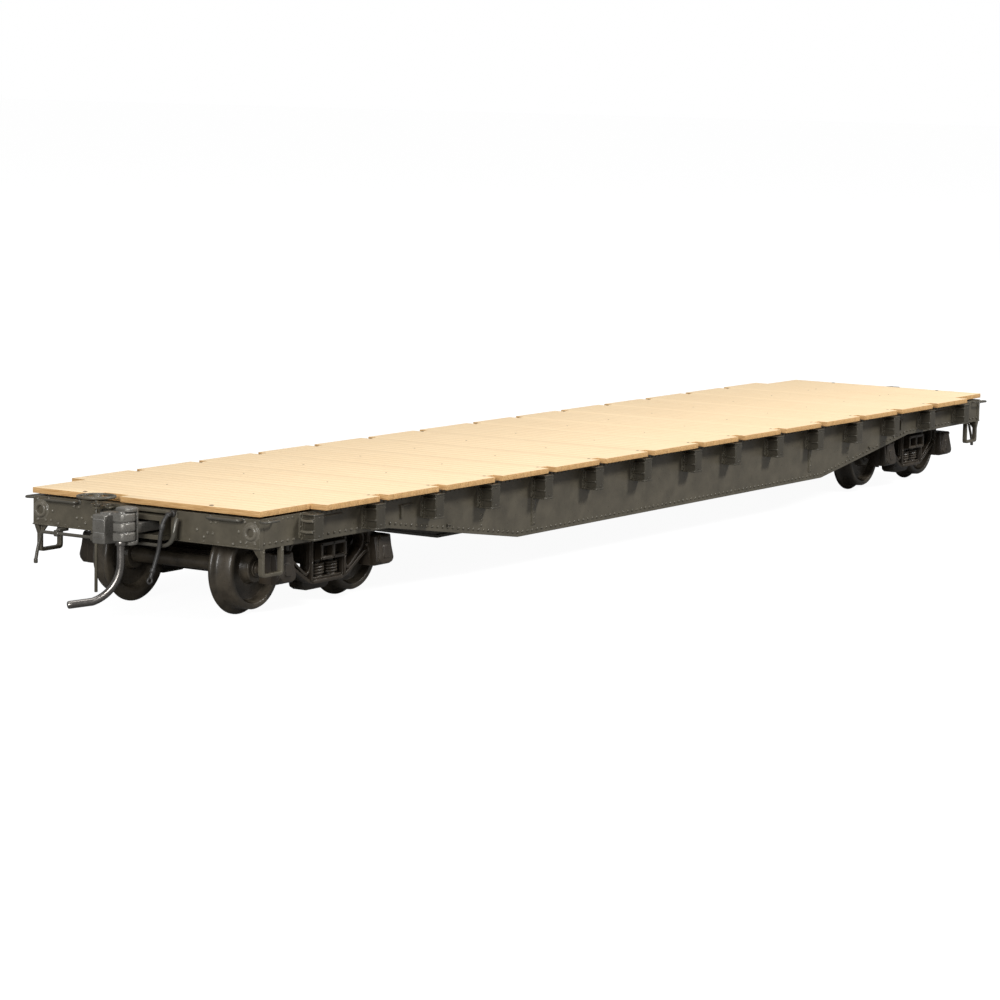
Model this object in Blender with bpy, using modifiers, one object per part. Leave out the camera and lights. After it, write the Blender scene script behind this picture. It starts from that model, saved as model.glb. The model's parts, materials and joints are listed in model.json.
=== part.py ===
"""Model flat car, 1:87 scale: plank deck, fishbelly steel frame, two four-wheel trucks,
swinging knuckle couplers and a hand brake.

Frame: X along the car (brake-wheel end at -X), Y across, Z up. The origin lies midway along
and across the car, at the lowest point of the wheel flanges. Every coordinate is in metres.
Pieces that both ends share are shaped for the +X end; the -X end has the same piece turned
half a turn about Z.
"""
import math

import bmesh
import bpy
from mathutils import Matrix, Vector

MM = 0.001
HALF_TURN = math.pi
SIDES = (-1, 1)
LAP = 0.1 * MM
CUT_MARGIN = 1.0 * MM
PIN_GAP = 0.07 * MM

# ---- deck
DECK_LENGTH = 187.2 * MM
DECK_TOP = 13.27 * MM
DECK_THICKNESS = 0.65 * MM
NAILING_STRIP_BOTTOM = 12.42 * MM
NAILING_STRIP_HALF_LENGTH = 92.6 * MM
NAILING_STRIP_HALF_WIDTH = 15.4 * MM
DECK_HALF_WIDTH = 18.5 * MM
DECK_END_HALF_WIDTH = 16.35 * MM
NOTCH_HALF_LENGTH = 0.84 * MM
NOTCH_DEPTH = 1.35 * MM
WHEEL_CUTOUT_Y = (3.4 * MM, 7.0 * MM)
WHEEL_CUTOUT_DEPTH = 1.75 * MM

# ---- body frame
FRAME_HALF_LENGTH = 93.5 * MM
FRAME_HALF_WIDTH = 16.15 * MM
FRAME_TOP = 12.35 * MM
SILL_THICKNESS = 0.65 * MM
SILL_END_BOTTOM = 8.95 * MM
KNEE_DROP = 0.12 * MM
SILL_MID_BOTTOM = 4.8 * MM
TAPER_OUTER_X = 68.5 * MM
TAPER_INNER_X = 40.5 * MM
SILL_FLANGE_WIDTH = 1.6 * MM
SILL_FLANGE_HEIGHT = 0.35 * MM
END_SILL_HALF_WIDTH = 16.3 * MM
END_OPENING_HALF_WIDTH = 4.0 * MM
END_OPENING_TOP = 11.9 * MM
FLOOR_Z = (11.25 * MM, 11.65 * MM)
FLOOR_HALF_LENGTH = 84.3 * MM
STEP_WALL = 0.6 * MM
END_PLATE_Z = (11.8 * MM, 12.3 * MM)
POCKET_COUNT = 15
POCKET_PITCH = 12.136 * MM
CENTRE_POCKET_SHIFT = 1.1 * MM
POCKET_WIDTH = 1.4 * MM
POCKET_OUTER_Y = 18.13 * MM
POCKET_Z = (9.3 * MM, 12.3 * MM)
POCKET_WALL = 0.35 * MM
POCKET_FLOOR = 0.6 * MM
POCKET_FLANGE_WIDTH = 2.3 * MM
POCKET_FLANGE_THICKNESS = 0.2 * MM
STAKE_HOLE_WIDTH = 0.8 * MM
WEIGHT_Z = (11.7 * MM, 12.3 * MM)
WEIGHT_HALF_LENGTH = 72.0 * MM
WEIGHT_HALF_WIDTH = 14.8 * MM

# ---- underframe
CENTRE_SILL_TOP = 11.2 * MM
CENTRE_SILL_HALF_WIDTH = 3.4 * MM
CENTRE_SILL_END_X = 84.0 * MM
CENTRE_SILL_END_BOTTOM = 9.15 * MM
CENTRE_SILL_MID_BOTTOM = 3.5 * MM
CENTRE_TAPER_OUTER_X = 72.0 * MM
CENTRE_TAPER_INNER_X = 39.8 * MM
COVER_OVERHANG = 0.4 * MM
BEAM_THICKNESS = 0.6 * MM
BEAM_HALF_LENGTH = 15.4 * MM
CROSSBEARER_X = (18.2 * MM, 36.4 * MM)
CROSSBEARER_BOTTOM = (4.6 * MM, 6.6 * MM)
CROSS_TIE_X = (4.2 * MM, 52.0 * MM)
CROSS_TIE_BOTTOM = 9.8 * MM
BODY_BOLSTER_HALF = 1.7 * MM
BODY_BOLSTER_BOTTOM = 9.5 * MM
CENTRE_PLATE_RADIUS = 3.0 * MM
CENTRE_PLATE_BOTTOM = 8.95 * MM
RESERVOIR_RADIUS = 2.0 * MM
BRAKE_CYLINDER_RADIUS = 2.1 * MM

# ---- end fittings
STEP_X = (89.0 * MM, 92.9 * MM)
STEP_Y = 15.95 * MM
STEP_BOTTOM = 5.75 * MM
STEP_STRAP_WIDTH = 0.65 * MM
STEP_STRAP_THICKNESS = 0.4 * MM
GRAB_X = (93.6 * MM, 94.35 * MM)
GRAB_Y = 11.7 * MM
GRAB_Z = 12.1 * MM
GRAB_HALF_LENGTH = 2.3 * MM
GRAB_RADIUS = 0.17 * MM
LEVER_X = 94.9 * MM
LEVER_Z = 8.45 * MM
LEVER_RADIUS = 0.2 * MM
LEVER_HANDLE_BOTTOM = 5.3 * MM
LEVER_TAIL_Y = 5.4 * MM
LEVER_TAIL_BEND = 1.7 * MM
LEVER_TAIL_TOP = 11.6 * MM
HOSE_RADIUS = 0.28 * MM

# ---- trucks
TRUCK_X = 76.2 * MM
TRUCKS = (("a", -TRUCK_X), ("b", TRUCK_X))
HALF_WHEELBASE = 9.65 * MM
AXLE_Z = 5.475 * MM
WHEEL_BACK_Y = 7.25 * MM
WHEEL_BORE = 1.03 * MM
AXLE_RADIUS = 1.0 * MM
AXLE_HALF_LENGTH = 12.85 * MM
AXLE_CONE_Y = 12.1 * MM
AXLE_NECK_Y = 10.3 * MM
JOURNAL_RADIUS = 0.6 * MM
JOURNAL_BOX_WIDTH = 3.2 * MM
BEARING_RADIUS = 0.66 * MM
SIDE_FRAME_Y = (11.6 * MM, 13.1 * MM)
SIDE_FRAME_TOP = 8.5 * MM
BOLSTER_Z = (6.0 * MM, 7.9 * MM)
BOLSTER_MIDDLE_Z = (5.25 * MM, 8.45 * MM)
BOLSTER_MIDDLE_HALF_LENGTH = 10.8 * MM
BOLSTER_HALF_WIDTH = 2.45 * MM
BOLSTER_HALF_LENGTH = 13.9 * MM
BOLSTER_WINDOW_X = 1.16 * MM
BOLSTER_WINDOW_WIDTH = 1.74 * MM
BOLSTER_RIM = 0.35 * MM
BOWL_TOP = 8.9 * MM
KINGPIN_RADIUS = 1.15 * MM
KINGPIN_HEAD_RADIUS = 2.1 * MM
KINGPIN_HEAD_Z = (4.5 * MM, 5.2 * MM)
SLOT_WIDTH = 0.4 * MM
SPRING_X = 1.3 * MM
SPRING_Y = 12.35 * MM
SPRING_TURNS = 5
SPRING_OUTER_RADIUS = 1.15 * MM
SPRING_INNER_RADIUS = 0.88 * MM
SPRING_SEAT_Z = 3.65 * MM
SPRING_SEAT_HALF_LENGTH = 2.75 * MM
SPRING_SEAT_HALF_WIDTH = 0.75 * MM
SPRING_PLATE = 0.25 * MM
PLANK_Y = (9.4 * MM, 11.55 * MM)
PLANK_Z = (3.1 * MM, 3.55 * MM)
PLANK_FOOT_BOTTOM = 2.1 * MM
PLANK_HALF_WIDTH = 2.6 * MM

# ---- couplers
COUPLER_PIVOT_X = 88.2 * MM
COUPLER_BOX_X = (85.2 * MM, 94.6 * MM)
COUPLER_BOX_Z = (9.55 * MM, 11.7 * MM)
COUPLER_BOX_HALF_WIDTH = 3.7 * MM
COUPLER_BOX_WALL = 0.6 * MM
COUPLER_CAVITY_TOP = 11.15 * MM
COUPLER_POST_RADIUS = 1.15 * MM
COUPLER_LID_Z = (9.0 * MM, 9.5 * MM)
COUPLER_SCREW_HOLE = 0.75 * MM
COUPLER_SCREW_HEAD_RADIUS = 1.4 * MM
COUPLER_SCREW_HEAD_Z = (8.35 * MM, 8.95 * MM)
SHANK_RING_RADIUS = 2.1 * MM
SHANK_RING_Z = (9.75 * MM, 10.95 * MM)
KNUCKLE_PIVOT = Vector((98.3 * MM, 1.4 * MM, 0))
KNUCKLE_RADIUS = 1.0 * MM
KNUCKLE_PIN_RADIUS = 0.35 * MM
KNUCKLE_Z = (9.2 * MM, 12.35 * MM)
HEAD_Z = (8.7 * MM, 12.85 * MM)
GUARD_TOP = 12.0 * MM
TRIP_PIN_RADIUS = 0.45 * MM
TRIP_SWEEP = (4.4 * MM, -3.7 * MM, 0)
TRIP_BEND_TOP = 6.9 * MM
TRIP_BEND_RADIUS = 4.6 * MM
TRIP_BEND_DEGREES = 72
TRIP_STEPS = 8
TRIP_TIP_LENGTH = 2.8 * MM
TRIP_TIP_DROP = 0.3 * MM

# ---- hand brake
BRAKE_X = -95.6 * MM
BRAKE_Y = 5.2 * MM
BRAKE_BRACKET_WIDTH = 1.4 * MM
BRAKE_BRACKET_Z = (9.1 * MM, 12.3 * MM)
BRAKE_SHELF_Z = (9.15 * MM, 11.9 * MM)
BRAKE_PLATE = 0.35 * MM
BRAKE_WHEEL_RADIUS = 2.1 * MM
BRAKE_WHEEL_Z = 13.3 * MM
BRAKE_RIM_RADIUS = 0.2 * MM
BRAKE_SPOKES = 5
SPOKE_WIDTH = 0.32 * MM
SPOKE_HEIGHT = 0.24 * MM
BRAKE_HUB_RADIUS = 0.5 * MM
BRAKE_HUB_Z = (13.05 * MM, 13.55 * MM)
STAFF_RADIUS = 0.2 * MM
STAFF_Z = (2.4 * MM, 13.0 * MM)

# ---- fineness of the shapes
ROUND_STEPS = 16
SMALL_STEPS = 12
SPRING_STEPS = 8
BRAKE_RIM_STEPS = 20
BRAKE_RIM_SIDES = 6
WELD_DISTANCE = 0.0005 * MM
FLAT_ANGLE = math.radians(0.1)
SMOOTH_ANGLE = math.radians(35)

parts = bpy.data.collections.new("model_flat_car")
guides = bpy.data.collections.new("cutters")


# ---- materials
def material(name, colour, roughness, metallic=0.0):
    """A Principled material with one colour."""
    made = bpy.data.materials.new(name)
    made.use_nodes = True
    shader = made.node_tree.nodes["Principled BSDF"]
    shader.inputs["Base Color"].default_value = (*colour, 1.0)
    shader.inputs["Roughness"].default_value = roughness
    shader.inputs["Metallic"].default_value = metallic
    made.diffuse_color = (*colour, 1.0)
    return made


PALETTE = {
    "deck_tan": ((0.84, 0.66, 0.42), 0.75, 0.0),
    "frame_olive": ((0.095, 0.085, 0.065), 0.55, 0.0),
    "truck_black": ((0.045, 0.038, 0.030), 0.60, 0.0),
    "hose_black": ((0.060, 0.055, 0.050), 0.50, 0.0),
    "wheel_dark": ((0.050, 0.044, 0.038), 0.45, 0.0),
    "coupler_metal": ((0.16, 0.15, 0.13), 0.45, 0.8),
    "pin_steel": ((0.32, 0.28, 0.24), 0.35, 1.0),
    "steel": ((0.45, 0.45, 0.45), 0.40, 1.0),
}


# ---- shapes
def mm(*values):
    """A point or size given in millimetres."""
    return Vector(values) * MM


def scratch(name, mesh):
    """A working object in the cutters collection."""
    made = bpy.data.objects.new(name, mesh)
    made.hide_render = True
    made.display_type = "WIRE"
    guides.objects.link(made)
    return made


def mesh_from_bmesh(name, work):
    bmesh.ops.recalc_face_normals(work, faces=work.faces[:])
    mesh = bpy.data.meshes.new(name)
    work.to_mesh(mesh)
    work.free()
    return mesh


def boxes(name, corner_pairs):
    """Separate boxes in one object, each from its lowest and highest corner."""
    work = bmesh.new()
    for low, high in corner_pairs:
        low, high = Vector(low), Vector(high)
        place = Matrix.Translation((low + high) / 2) @ Matrix.Diagonal((*(high - low), 1.0))
        bmesh.ops.create_cube(work, size=1.0, matrix=place)
    return scratch(name, mesh_from_bmesh(name, work))


def box(name, low, high):
    return boxes(name, [(low, high)])


def cylinders(name, radius, spans, steps=ROUND_STEPS):
    """Separate cylinders of one radius, each between two points."""
    work = bmesh.new()
    for start, end in spans:
        start, end = Vector(start), Vector(end)
        along = end - start
        turn = Vector((0, 0, 1)).rotation_difference(along).to_matrix().to_4x4()
        bmesh.ops.create_cone(work, cap_ends=True, segments=steps, radius1=radius, radius2=radius,
                              depth=along.length, matrix=Matrix.Translation((start + end) / 2) @ turn)
    return scratch(name, mesh_from_bmesh(name, work))


def upright(name, radius, centre, low, high, steps=ROUND_STEPS):
    """One upright cylinder about a centre (x, y)."""
    return cylinders(name, radius, [((*centre, low), (*centre, high))], steps)


def evaluated_mesh(made):
    depsgraph = bpy.context.evaluated_depsgraph_get()
    return bpy.data.meshes.new_from_object(made.evaluated_get(depsgraph))


def weld(mesh):
    """Close the mesh and merge its flat regions into single faces."""
    work = bmesh.new()
    work.from_mesh(mesh)
    bmesh.ops.remove_doubles(work, verts=work.verts[:], dist=WELD_DISTANCE)
    bmesh.ops.recalc_face_normals(work, faces=work.faces[:])
    bmesh.ops.dissolve_limit(work, angle_limit=FLAT_ANGLE, verts=work.verts[:], edges=work.edges[:])
    work.to_mesh(mesh)
    work.free()


def from_curve(made):
    """Turn a curve object into a welded mesh object in its place."""
    mesh = evaluated_mesh(made)
    mesh.transform(made.matrix_world)
    name = made.name
    bpy.data.objects.remove(made)
    weld(mesh)
    return scratch(name, mesh)


def plate(name, outlines, thickness, plane="XZ", offset=0.0):
    """A flat piece: outlines (the first outside, the rest holes) with a thickness across them.

    plane XY lies flat with Z across it, XZ stands along the car with Y across it, and YZ
    stands across the car with X across it. offset is the place of the middle of the thickness.
    """
    curve = bpy.data.curves.new(name, "CURVE")
    curve.dimensions = "2D"
    curve.fill_mode = "BOTH"
    curve.extrude = thickness / 2
    for outline in outlines:
        spline = curve.splines.new("POLY")
        spline.points.add(len(outline) - 1)
        for point, (u, v) in zip(spline.points, outline):
            point.co = (u, v, 0.0, 1.0)
        spline.use_cyclic_u = True
    made = bpy.data.objects.new(name, curve)
    if plane == "XY":
        made.matrix_world = Matrix.Translation((0, 0, offset))
    elif plane == "XZ":
        turn = Matrix(((1, 0, 0), (0, 0, -1), (0, 1, 0))).to_4x4()
        made.matrix_world = Matrix.Translation((0, offset, 0)) @ turn
    else:
        turn = Matrix(((0, 0, 1), (1, 0, 0), (0, 1, 0))).to_4x4()
        made.matrix_world = Matrix.Translation((offset, 0, 0)) @ turn
    guides.objects.link(made)
    bpy.context.view_layer.update()
    return from_curve(made)


def wire(name, points, radius, resolution=1):
    """A round wire through the points, with closed ends."""
    curve = bpy.data.curves.new(name, "CURVE")
    curve.dimensions = "3D"
    curve.bevel_depth = radius
    curve.bevel_resolution = resolution
    curve.use_fill_caps = True
    spline = curve.splines.new("POLY")
    spline.points.add(len(points) - 1)
    for point, place in zip(spline.points, points):
        point.co = (*place, 1.0)
    made = bpy.data.objects.new(name, curve)
    guides.objects.link(made)
    bpy.context.view_layer.update()
    return from_curve(made)


def turned(name, profile, steps=ROUND_STEPS, closed=False):
    """A shape turned about Z from (radius, height) points, top to bottom down its outside."""
    count = len(profile)
    edges = [(i, i + 1) for i in range(count - 1)]
    if closed:
        edges.append((count - 1, 0))
    mesh = bpy.data.meshes.new(name)
    mesh.from_pydata([(radius, 0.0, height) for radius, height in profile], edges, [])
    made = scratch(name, mesh)
    screw = made.modifiers.new("turn", "SCREW")
    screw.steps = steps
    screw.render_steps = steps
    screw.use_merge_vertices = True
    screw.merge_threshold = 1e-6
    bpy.context.view_layer.update()
    made.data = evaluated_mesh(made)
    made.modifiers.clear()
    weld(made.data)
    return made


def combine(made, others, operation="UNION"):
    """Join the others to the object, or cut them out of it, and use them up."""
    for other in others:
        step = made.modifiers.new("shape", "BOOLEAN")
        step.operation = operation
        step.solver = "EXACT"
        step.object = other
    bpy.context.view_layer.update()
    made.data = evaluated_mesh(made)
    made.modifiers.clear()
    for other in others:
        bpy.data.objects.remove(other)
    weld(made.data)
    return made


def cut(made, others):
    return combine(made, others, "DIFFERENCE")


def moved(made, rotation=None, shift=(0, 0, 0)):
    """Turn and shift the mesh itself."""
    turn = rotation if rotation is not None else Matrix.Identity(4)
    made.data.transform(Matrix.Translation(shift) @ turn)
    return made


def shade(mesh):
    mesh.shade_smooth()
    mesh.set_sharp_from_angle(angle=SMOOTH_ANGLE)


def place(shape, name, colour, location=(0, 0, 0), spin=0.0):
    """A finished part: a copy of the shape at a place, turned about Z, in its own material."""
    made = bpy.data.objects.new(name, shape.data)
    made.location = location
    made.rotation_euler = (0, 0, spin)
    if not shape.data.materials:
        shape.data.materials.append(material(colour + "_" + name, *PALETTE[colour]))
        shade(shape.data)
    parts.objects.link(made)
    return made


def at_both_ends(shape, stem, colour, pivot_x=0.0):
    """One copy of an end piece at each end of the car. Its mesh is drawn about the pivot."""
    place(shape, stem + "_a", colour, (-pivot_x, 0, 0), HALF_TURN)
    place(shape, stem + "_b", colour, (pivot_x, 0, 0))


# ---- deck
def pocket_places():
    """The stake pockets' places along the car, from the brake end on."""
    middle = POCKET_COUNT // 2
    places = [(i - middle) * POCKET_PITCH for i in range(POCKET_COUNT)]
    places[middle] += CENTRE_POCKET_SHIFT
    return places


def make_deck():
    """The plank deck: narrower at its ends, notched for pockets and brake wheel, a layer below it."""
    low, high = DECK_TOP - DECK_THICKNESS, DECK_TOP
    places = pocket_places()
    main_half = places[-1] - NOTCH_HALF_LENGTH
    end_x = DECK_LENGTH / 2
    shape = box("deck_shape", (-end_x, -DECK_END_HALF_WIDTH, low), (end_x, DECK_END_HALF_WIDTH, high))
    wings = [span_box(0, main_half, DECK_END_HALF_WIDTH - CUT_MARGIN, DECK_HALF_WIDTH, low, high, side)
             for side in SIDES]
    strip_x, strip_y = NAILING_STRIP_HALF_LENGTH, NAILING_STRIP_HALF_WIDTH
    layer = box("layer", (-strip_x, -strip_y, NAILING_STRIP_BOTTOM), (strip_x, strip_y, low + LAP))
    combine(shape, [boxes("wings", wings), layer])
    notches = [span_box(x, NOTCH_HALF_LENGTH, DECK_HALF_WIDTH - NOTCH_DEPTH,
                        DECK_HALF_WIDTH + CUT_MARGIN, low - CUT_MARGIN, high + CUT_MARGIN, side)
               for x in places[1:-1] for side in SIDES]
    cutout = ((-end_x - CUT_MARGIN, WHEEL_CUTOUT_Y[0], low - CUT_MARGIN),
              (-end_x + WHEEL_CUTOUT_DEPTH, WHEEL_CUTOUT_Y[1], high + CUT_MARGIN))
    cut(shape, [boxes("notches", [*notches, cutout])])
    place(shape, "deck", "deck_tan")


# ---- body frame
def fishbelly(bottom_end, bottom_mid, outer_x, inner_x, end_x):
    """The lower edge of a fishbelly sill, from -X to +X, dropping slightly to its knees."""
    knee = bottom_end - KNEE_DROP
    return [(-end_x, bottom_end), (-outer_x, knee), (-inner_x, bottom_mid),
            (inner_x, bottom_mid), (outer_x, knee), (end_x, bottom_end)]


def strip(lower_edge, height):
    """A closed band of one height along a lower edge."""
    return lower_edge + [(x, z + height) for x, z in reversed(lower_edge)]


def filled_to(lower_edge, top):
    """The outline between a lower edge and a level top."""
    return lower_edge + [(lower_edge[-1][0], top), (lower_edge[0][0], top)]


def side_sill(side):
    """One side sill: its web and the flange along its lower edge."""
    edge = fishbelly(SILL_END_BOTTOM, SILL_MID_BOTTOM, TAPER_OUTER_X, TAPER_INNER_X,
                     FRAME_HALF_LENGTH - SILL_THICKNESS / 2)
    web_y = side * (FRAME_HALF_WIDTH - SILL_THICKNESS / 2)
    web = plate("web", [filled_to(edge, FRAME_TOP)], SILL_THICKNESS, "XZ", web_y)
    flange_y = side * (FRAME_HALF_WIDTH - SILL_FLANGE_WIDTH / 2 - LAP)
    lip = fishbelly(SILL_END_BOTTOM + LAP / 2, SILL_MID_BOTTOM + LAP / 2, TAPER_OUTER_X,
                    TAPER_INNER_X, FRAME_HALF_LENGTH - SILL_THICKNESS - LAP)
    flange = plate("flange", [strip(lip, SILL_FLANGE_HEIGHT)], SILL_FLANGE_WIDTH, "XZ", flange_y)
    return combine(web, [flange])


def stake_pockets(side):
    """The stake pockets of one side, each a box with a flange against the sill."""
    inner_y = FRAME_HALF_WIDTH - 2 * LAP
    flange_y = FRAME_HALF_WIDTH + POCKET_FLANGE_THICKNESS
    hole_y = (FRAME_HALF_WIDTH + POCKET_WALL, POCKET_OUTER_Y - POCKET_WALL)
    low, high = POCKET_Z
    bodies = [span_box(x, POCKET_WIDTH / 2, inner_y, POCKET_OUTER_Y, low, high, side)
              for x in pocket_places()]
    flanges = [span_box(x, POCKET_FLANGE_WIDTH / 2, inner_y, flange_y, low + 2 * LAP, high - LAP, side)
               for x in pocket_places()]
    holes = [span_box(x, STAKE_HOLE_WIDTH / 2, *hole_y, low + POCKET_FLOOR, high + CUT_MARGIN, side)
             for x in pocket_places()]
    return boxes("pockets", bodies), boxes("flanges", flanges), boxes("stake_holes", holes)


def span_box(x, half_x, y_near, y_far, low, high, side=1):
    """Corners of a box about x, between two distances from the middle line on one side."""
    y_pair = sorted((side * y_near, side * y_far))
    return (x - half_x, y_pair[0], low), (x + half_x, y_pair[1], high)


def end_boxes(x_near, x_far, half_y, low, high):
    """Corners of the same box at each end of the car."""
    pairs = []
    for end in SIDES:
        x_low, x_high = sorted((end * x_near, end * x_far))
        pairs.append(((x_low, -half_y, low), (x_high, half_y, high)))
    return pairs


def make_body_frame():
    """Floor, side sills with their pockets, end sills and the raised plates over the couplers."""
    half_y = FRAME_HALF_WIDTH - SILL_THICKNESS / 2
    low, high = FLOOR_Z
    floor = box("floor", (-FLOOR_HALF_LENGTH, -half_y, low), (FLOOR_HALF_LENGTH, half_y, high))
    plate_x = FLOOR_HALF_LENGTH - STEP_WALL
    end_plates = end_boxes(plate_x, FRAME_HALF_LENGTH - SILL_THICKNESS / 2, half_y, *END_PLATE_Z)
    drops = end_boxes(plate_x + LAP / 2, FLOOR_HALF_LENGTH - LAP / 2, half_y - LAP,
                      low + LAP / 2, END_PLATE_Z[1] - LAP / 2)
    end_sills = end_boxes(FRAME_HALF_LENGTH - SILL_THICKNESS, FRAME_HALF_LENGTH,
                          END_SILL_HALF_WIDTH, SILL_END_BOTTOM, FRAME_TOP)
    openings = end_boxes(FRAME_HALF_LENGTH - 2 * CUT_MARGIN, FRAME_HALF_LENGTH + CUT_MARGIN,
                         END_OPENING_HALF_WIDTH, SILL_END_BOTTOM - CUT_MARGIN, END_OPENING_TOP)
    screw_holes = [((end * COUPLER_PIVOT_X, 0, END_PLATE_Z[0] - CUT_MARGIN),
                    (end * COUPLER_PIVOT_X, 0, END_PLATE_Z[1] + CUT_MARGIN)) for end in SIDES]
    near_pockets, near_flanges, near_holes = stake_pockets(-1)
    far_pockets, far_flanges, far_holes = stake_pockets(1)
    combine(floor, [boxes("end_plates", end_plates), boxes("drops", drops), side_sill(-1),
                    side_sill(1), boxes("end_sills", end_sills), near_flanges, far_flanges,
                    near_pockets, far_pockets])
    cut(floor, [boxes("openings", openings), near_holes, far_holes,
                cylinders("screw_holes", COUPLER_SCREW_HOLE, screw_holes, SMALL_STEPS)])
    place(floor, "body_frame", "frame_olive")


def make_weight():
    """The flat steel weight between the floor and the deck."""
    low, high = WEIGHT_Z
    shape = box("weight_shape", (-WEIGHT_HALF_LENGTH, -WEIGHT_HALF_WIDTH, low),
                (WEIGHT_HALF_LENGTH, WEIGHT_HALF_WIDTH, high))
    place(shape, "weight_plate", "steel")


# ---- underframe
def crossbearer(x, side, lower_inner, lower_outer):
    """A thin beam from the centre sill out to one side sill."""
    inner_y, outer_y = CENTRE_SILL_HALF_WIDTH - 3 * LAP, BEAM_HALF_LENGTH
    top = CENTRE_SILL_TOP - LAP / 2
    outline = [(side * inner_y, lower_inner), (side * outer_y, lower_outer),
               (side * outer_y, top), (side * inner_y, top)]
    if side < 0:
        outline.reverse()
    return plate("crossbearer", [outline], BEAM_THICKNESS, "YZ", x)


def make_underframe():
    """The fishbelly centre sill with its crossbearers, ties, body bolsters and centre plates."""
    edge = fishbelly(CENTRE_SILL_END_BOTTOM, CENTRE_SILL_MID_BOTTOM, CENTRE_TAPER_OUTER_X,
                     CENTRE_TAPER_INNER_X, CENTRE_SILL_END_X)
    web_y = CENTRE_SILL_HALF_WIDTH - BEAM_THICKNESS / 2
    webs = [plate("web", [filled_to(edge, CENTRE_SILL_TOP)], BEAM_THICKNESS, "XZ", side * web_y)
            for side in SIDES]
    lip = fishbelly(CENTRE_SILL_END_BOTTOM - LAP / 5, CENTRE_SILL_MID_BOTTOM - LAP / 5,
                    CENTRE_TAPER_OUTER_X, CENTRE_TAPER_INNER_X, CENTRE_SILL_END_X - LAP)
    cover = plate("cover", [strip(lip, SILL_FLANGE_HEIGHT)],
                  2 * (CENTRE_SILL_HALF_WIDTH + COVER_OVERHANG))
    beams = []
    for side in SIDES:
        for end in SIDES:
            beams += [crossbearer(end * x, side, *CROSSBEARER_BOTTOM) for x in CROSSBEARER_X]
            beams += [crossbearer(end * x, side, CROSS_TIE_BOTTOM, CROSS_TIE_BOTTOM) for x in CROSS_TIE_X]
    bolsters = boxes("bolsters", end_boxes(TRUCK_X - BODY_BOLSTER_HALF, TRUCK_X + BODY_BOLSTER_HALF,
                                           BEAM_HALF_LENGTH, BODY_BOLSTER_BOTTOM,
                                           CENTRE_SILL_TOP - LAP / 5))
    pads = cylinders("pads", CENTRE_PLATE_RADIUS,
                     [((end * TRUCK_X, 0, CENTRE_PLATE_BOTTOM),
                       (end * TRUCK_X, 0, CENTRE_PLATE_BOTTOM + CUT_MARGIN)) for end in SIDES])
    holes = cylinders("holes", KINGPIN_RADIUS + PIN_GAP,
                      [((end * TRUCK_X, 0, CENTRE_PLATE_BOTTOM - CUT_MARGIN),
                        (end * TRUCK_X, 0, CENTRE_SILL_TOP + CUT_MARGIN)) for end in SIDES])
    combine(webs[0], [cover, webs[1], bolsters, pads, *beams])
    cut(webs[0], [holes])
    place(webs[0], "centre_sill", "frame_olive")


def make_brake_gear():
    """The air brake's cylinder, reservoir and valve, hung under the floor."""
    top = CENTRE_SILL_TOP / MM
    reservoir = cylinders("tank", RESERVOIR_RADIUS, [(mm(-14.5, 9.0, 8.5), mm(-6.5, 9.0, 8.5))])
    hangers = [(mm(x - 0.3, 8.0, 9.5), mm(x + 0.3, 10.0, top)) for x in (-12.8, -8.2)]
    combine(reservoir, [boxes("hangers", hangers)])
    place(reservoir, "air_reservoir", "frame_olive")

    body = cylinders("brake_body", BRAKE_CYLINDER_RADIUS, [(mm(23, -8.6, 8.4), mm(30, -8.6, 8.4))])
    rod = cylinders("rod", 0.4 * MM, [(mm(20.5, -8.6, 8.4), mm(23.5, -8.6, 8.4))], SMALL_STEPS)
    combine(body, [rod, box("bracket", mm(25, -9.8, 9.5), mm(28, -7.4, top))])
    place(body, "brake_cylinder", "frame_olive")

    valve = box("valve", mm(8, 7.4, 7.4), mm(11.5, 10.2, 9.9))
    stem = box("stem", mm(9, 8.1, 9.7), mm(10.5, 9.5, top))
    cap = cylinders("cap", 1.0 * MM, [(mm(9.75, 8.8, 6.6), mm(9.75, 8.8, 7.6))], SMALL_STEPS)
    combine(valve, [stem, cap])
    place(valve, "control_valve", "frame_olive")


# ---- end fittings
def at_each_corner(shape, stem, colour, side_y):
    """One copy of a piece at each corner, drawn on the middle line of the +X end."""
    for end_name, spin in (("a", HALF_TURN), ("b", 0.0)):
        for side_name, side in (("right", -1), ("left", 1)):
            place(shape, f"{stem}_{end_name}_{side_name}", colour, (0, side * side_y, 0), spin)


def make_steps():
    """The stirrup step under each corner of the frame."""
    inner_x, outer_x = STEP_X
    bar = STEP_STRAP_THICKNESS
    top, bottom = SILL_END_BOTTOM - LAP / 2, STEP_BOTTOM
    outline = [(inner_x, top), (inner_x, bottom + bar), (inner_x + bar, bottom),
               (outer_x - bar, bottom), (outer_x, bottom + bar), (outer_x, top),
               (outer_x - bar, top), (outer_x - bar, bottom + bar),
               (inner_x + bar, bottom + bar), (inner_x + bar, top)]
    shape = plate("step_shape", [outline], STEP_STRAP_WIDTH, "XZ", 0.0)
    at_each_corner(shape, "step", "frame_olive", STEP_Y)


def make_end_grabs():
    """The grab iron at each corner of the end sills."""
    foot_x, bar_x = GRAB_X
    half = GRAB_HALF_LENGTH
    points = [(foot_x, -half, GRAB_Z), (bar_x, -half, GRAB_Z),
              (bar_x, half, GRAB_Z), (foot_x, half, GRAB_Z)]
    at_each_corner(wire("grab_shape", points, GRAB_RADIUS), "end_grab", "frame_olive", GRAB_Y)


def arc(centre, radius, start, stop, count):
    """Points (u, v) along an arc, angles in degrees."""
    angles = [math.radians(start + (stop - start) * i / count) for i in range(count + 1)]
    return [(centre[0] + radius * math.cos(a), centre[1] + radius * math.sin(a)) for a in angles]


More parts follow.
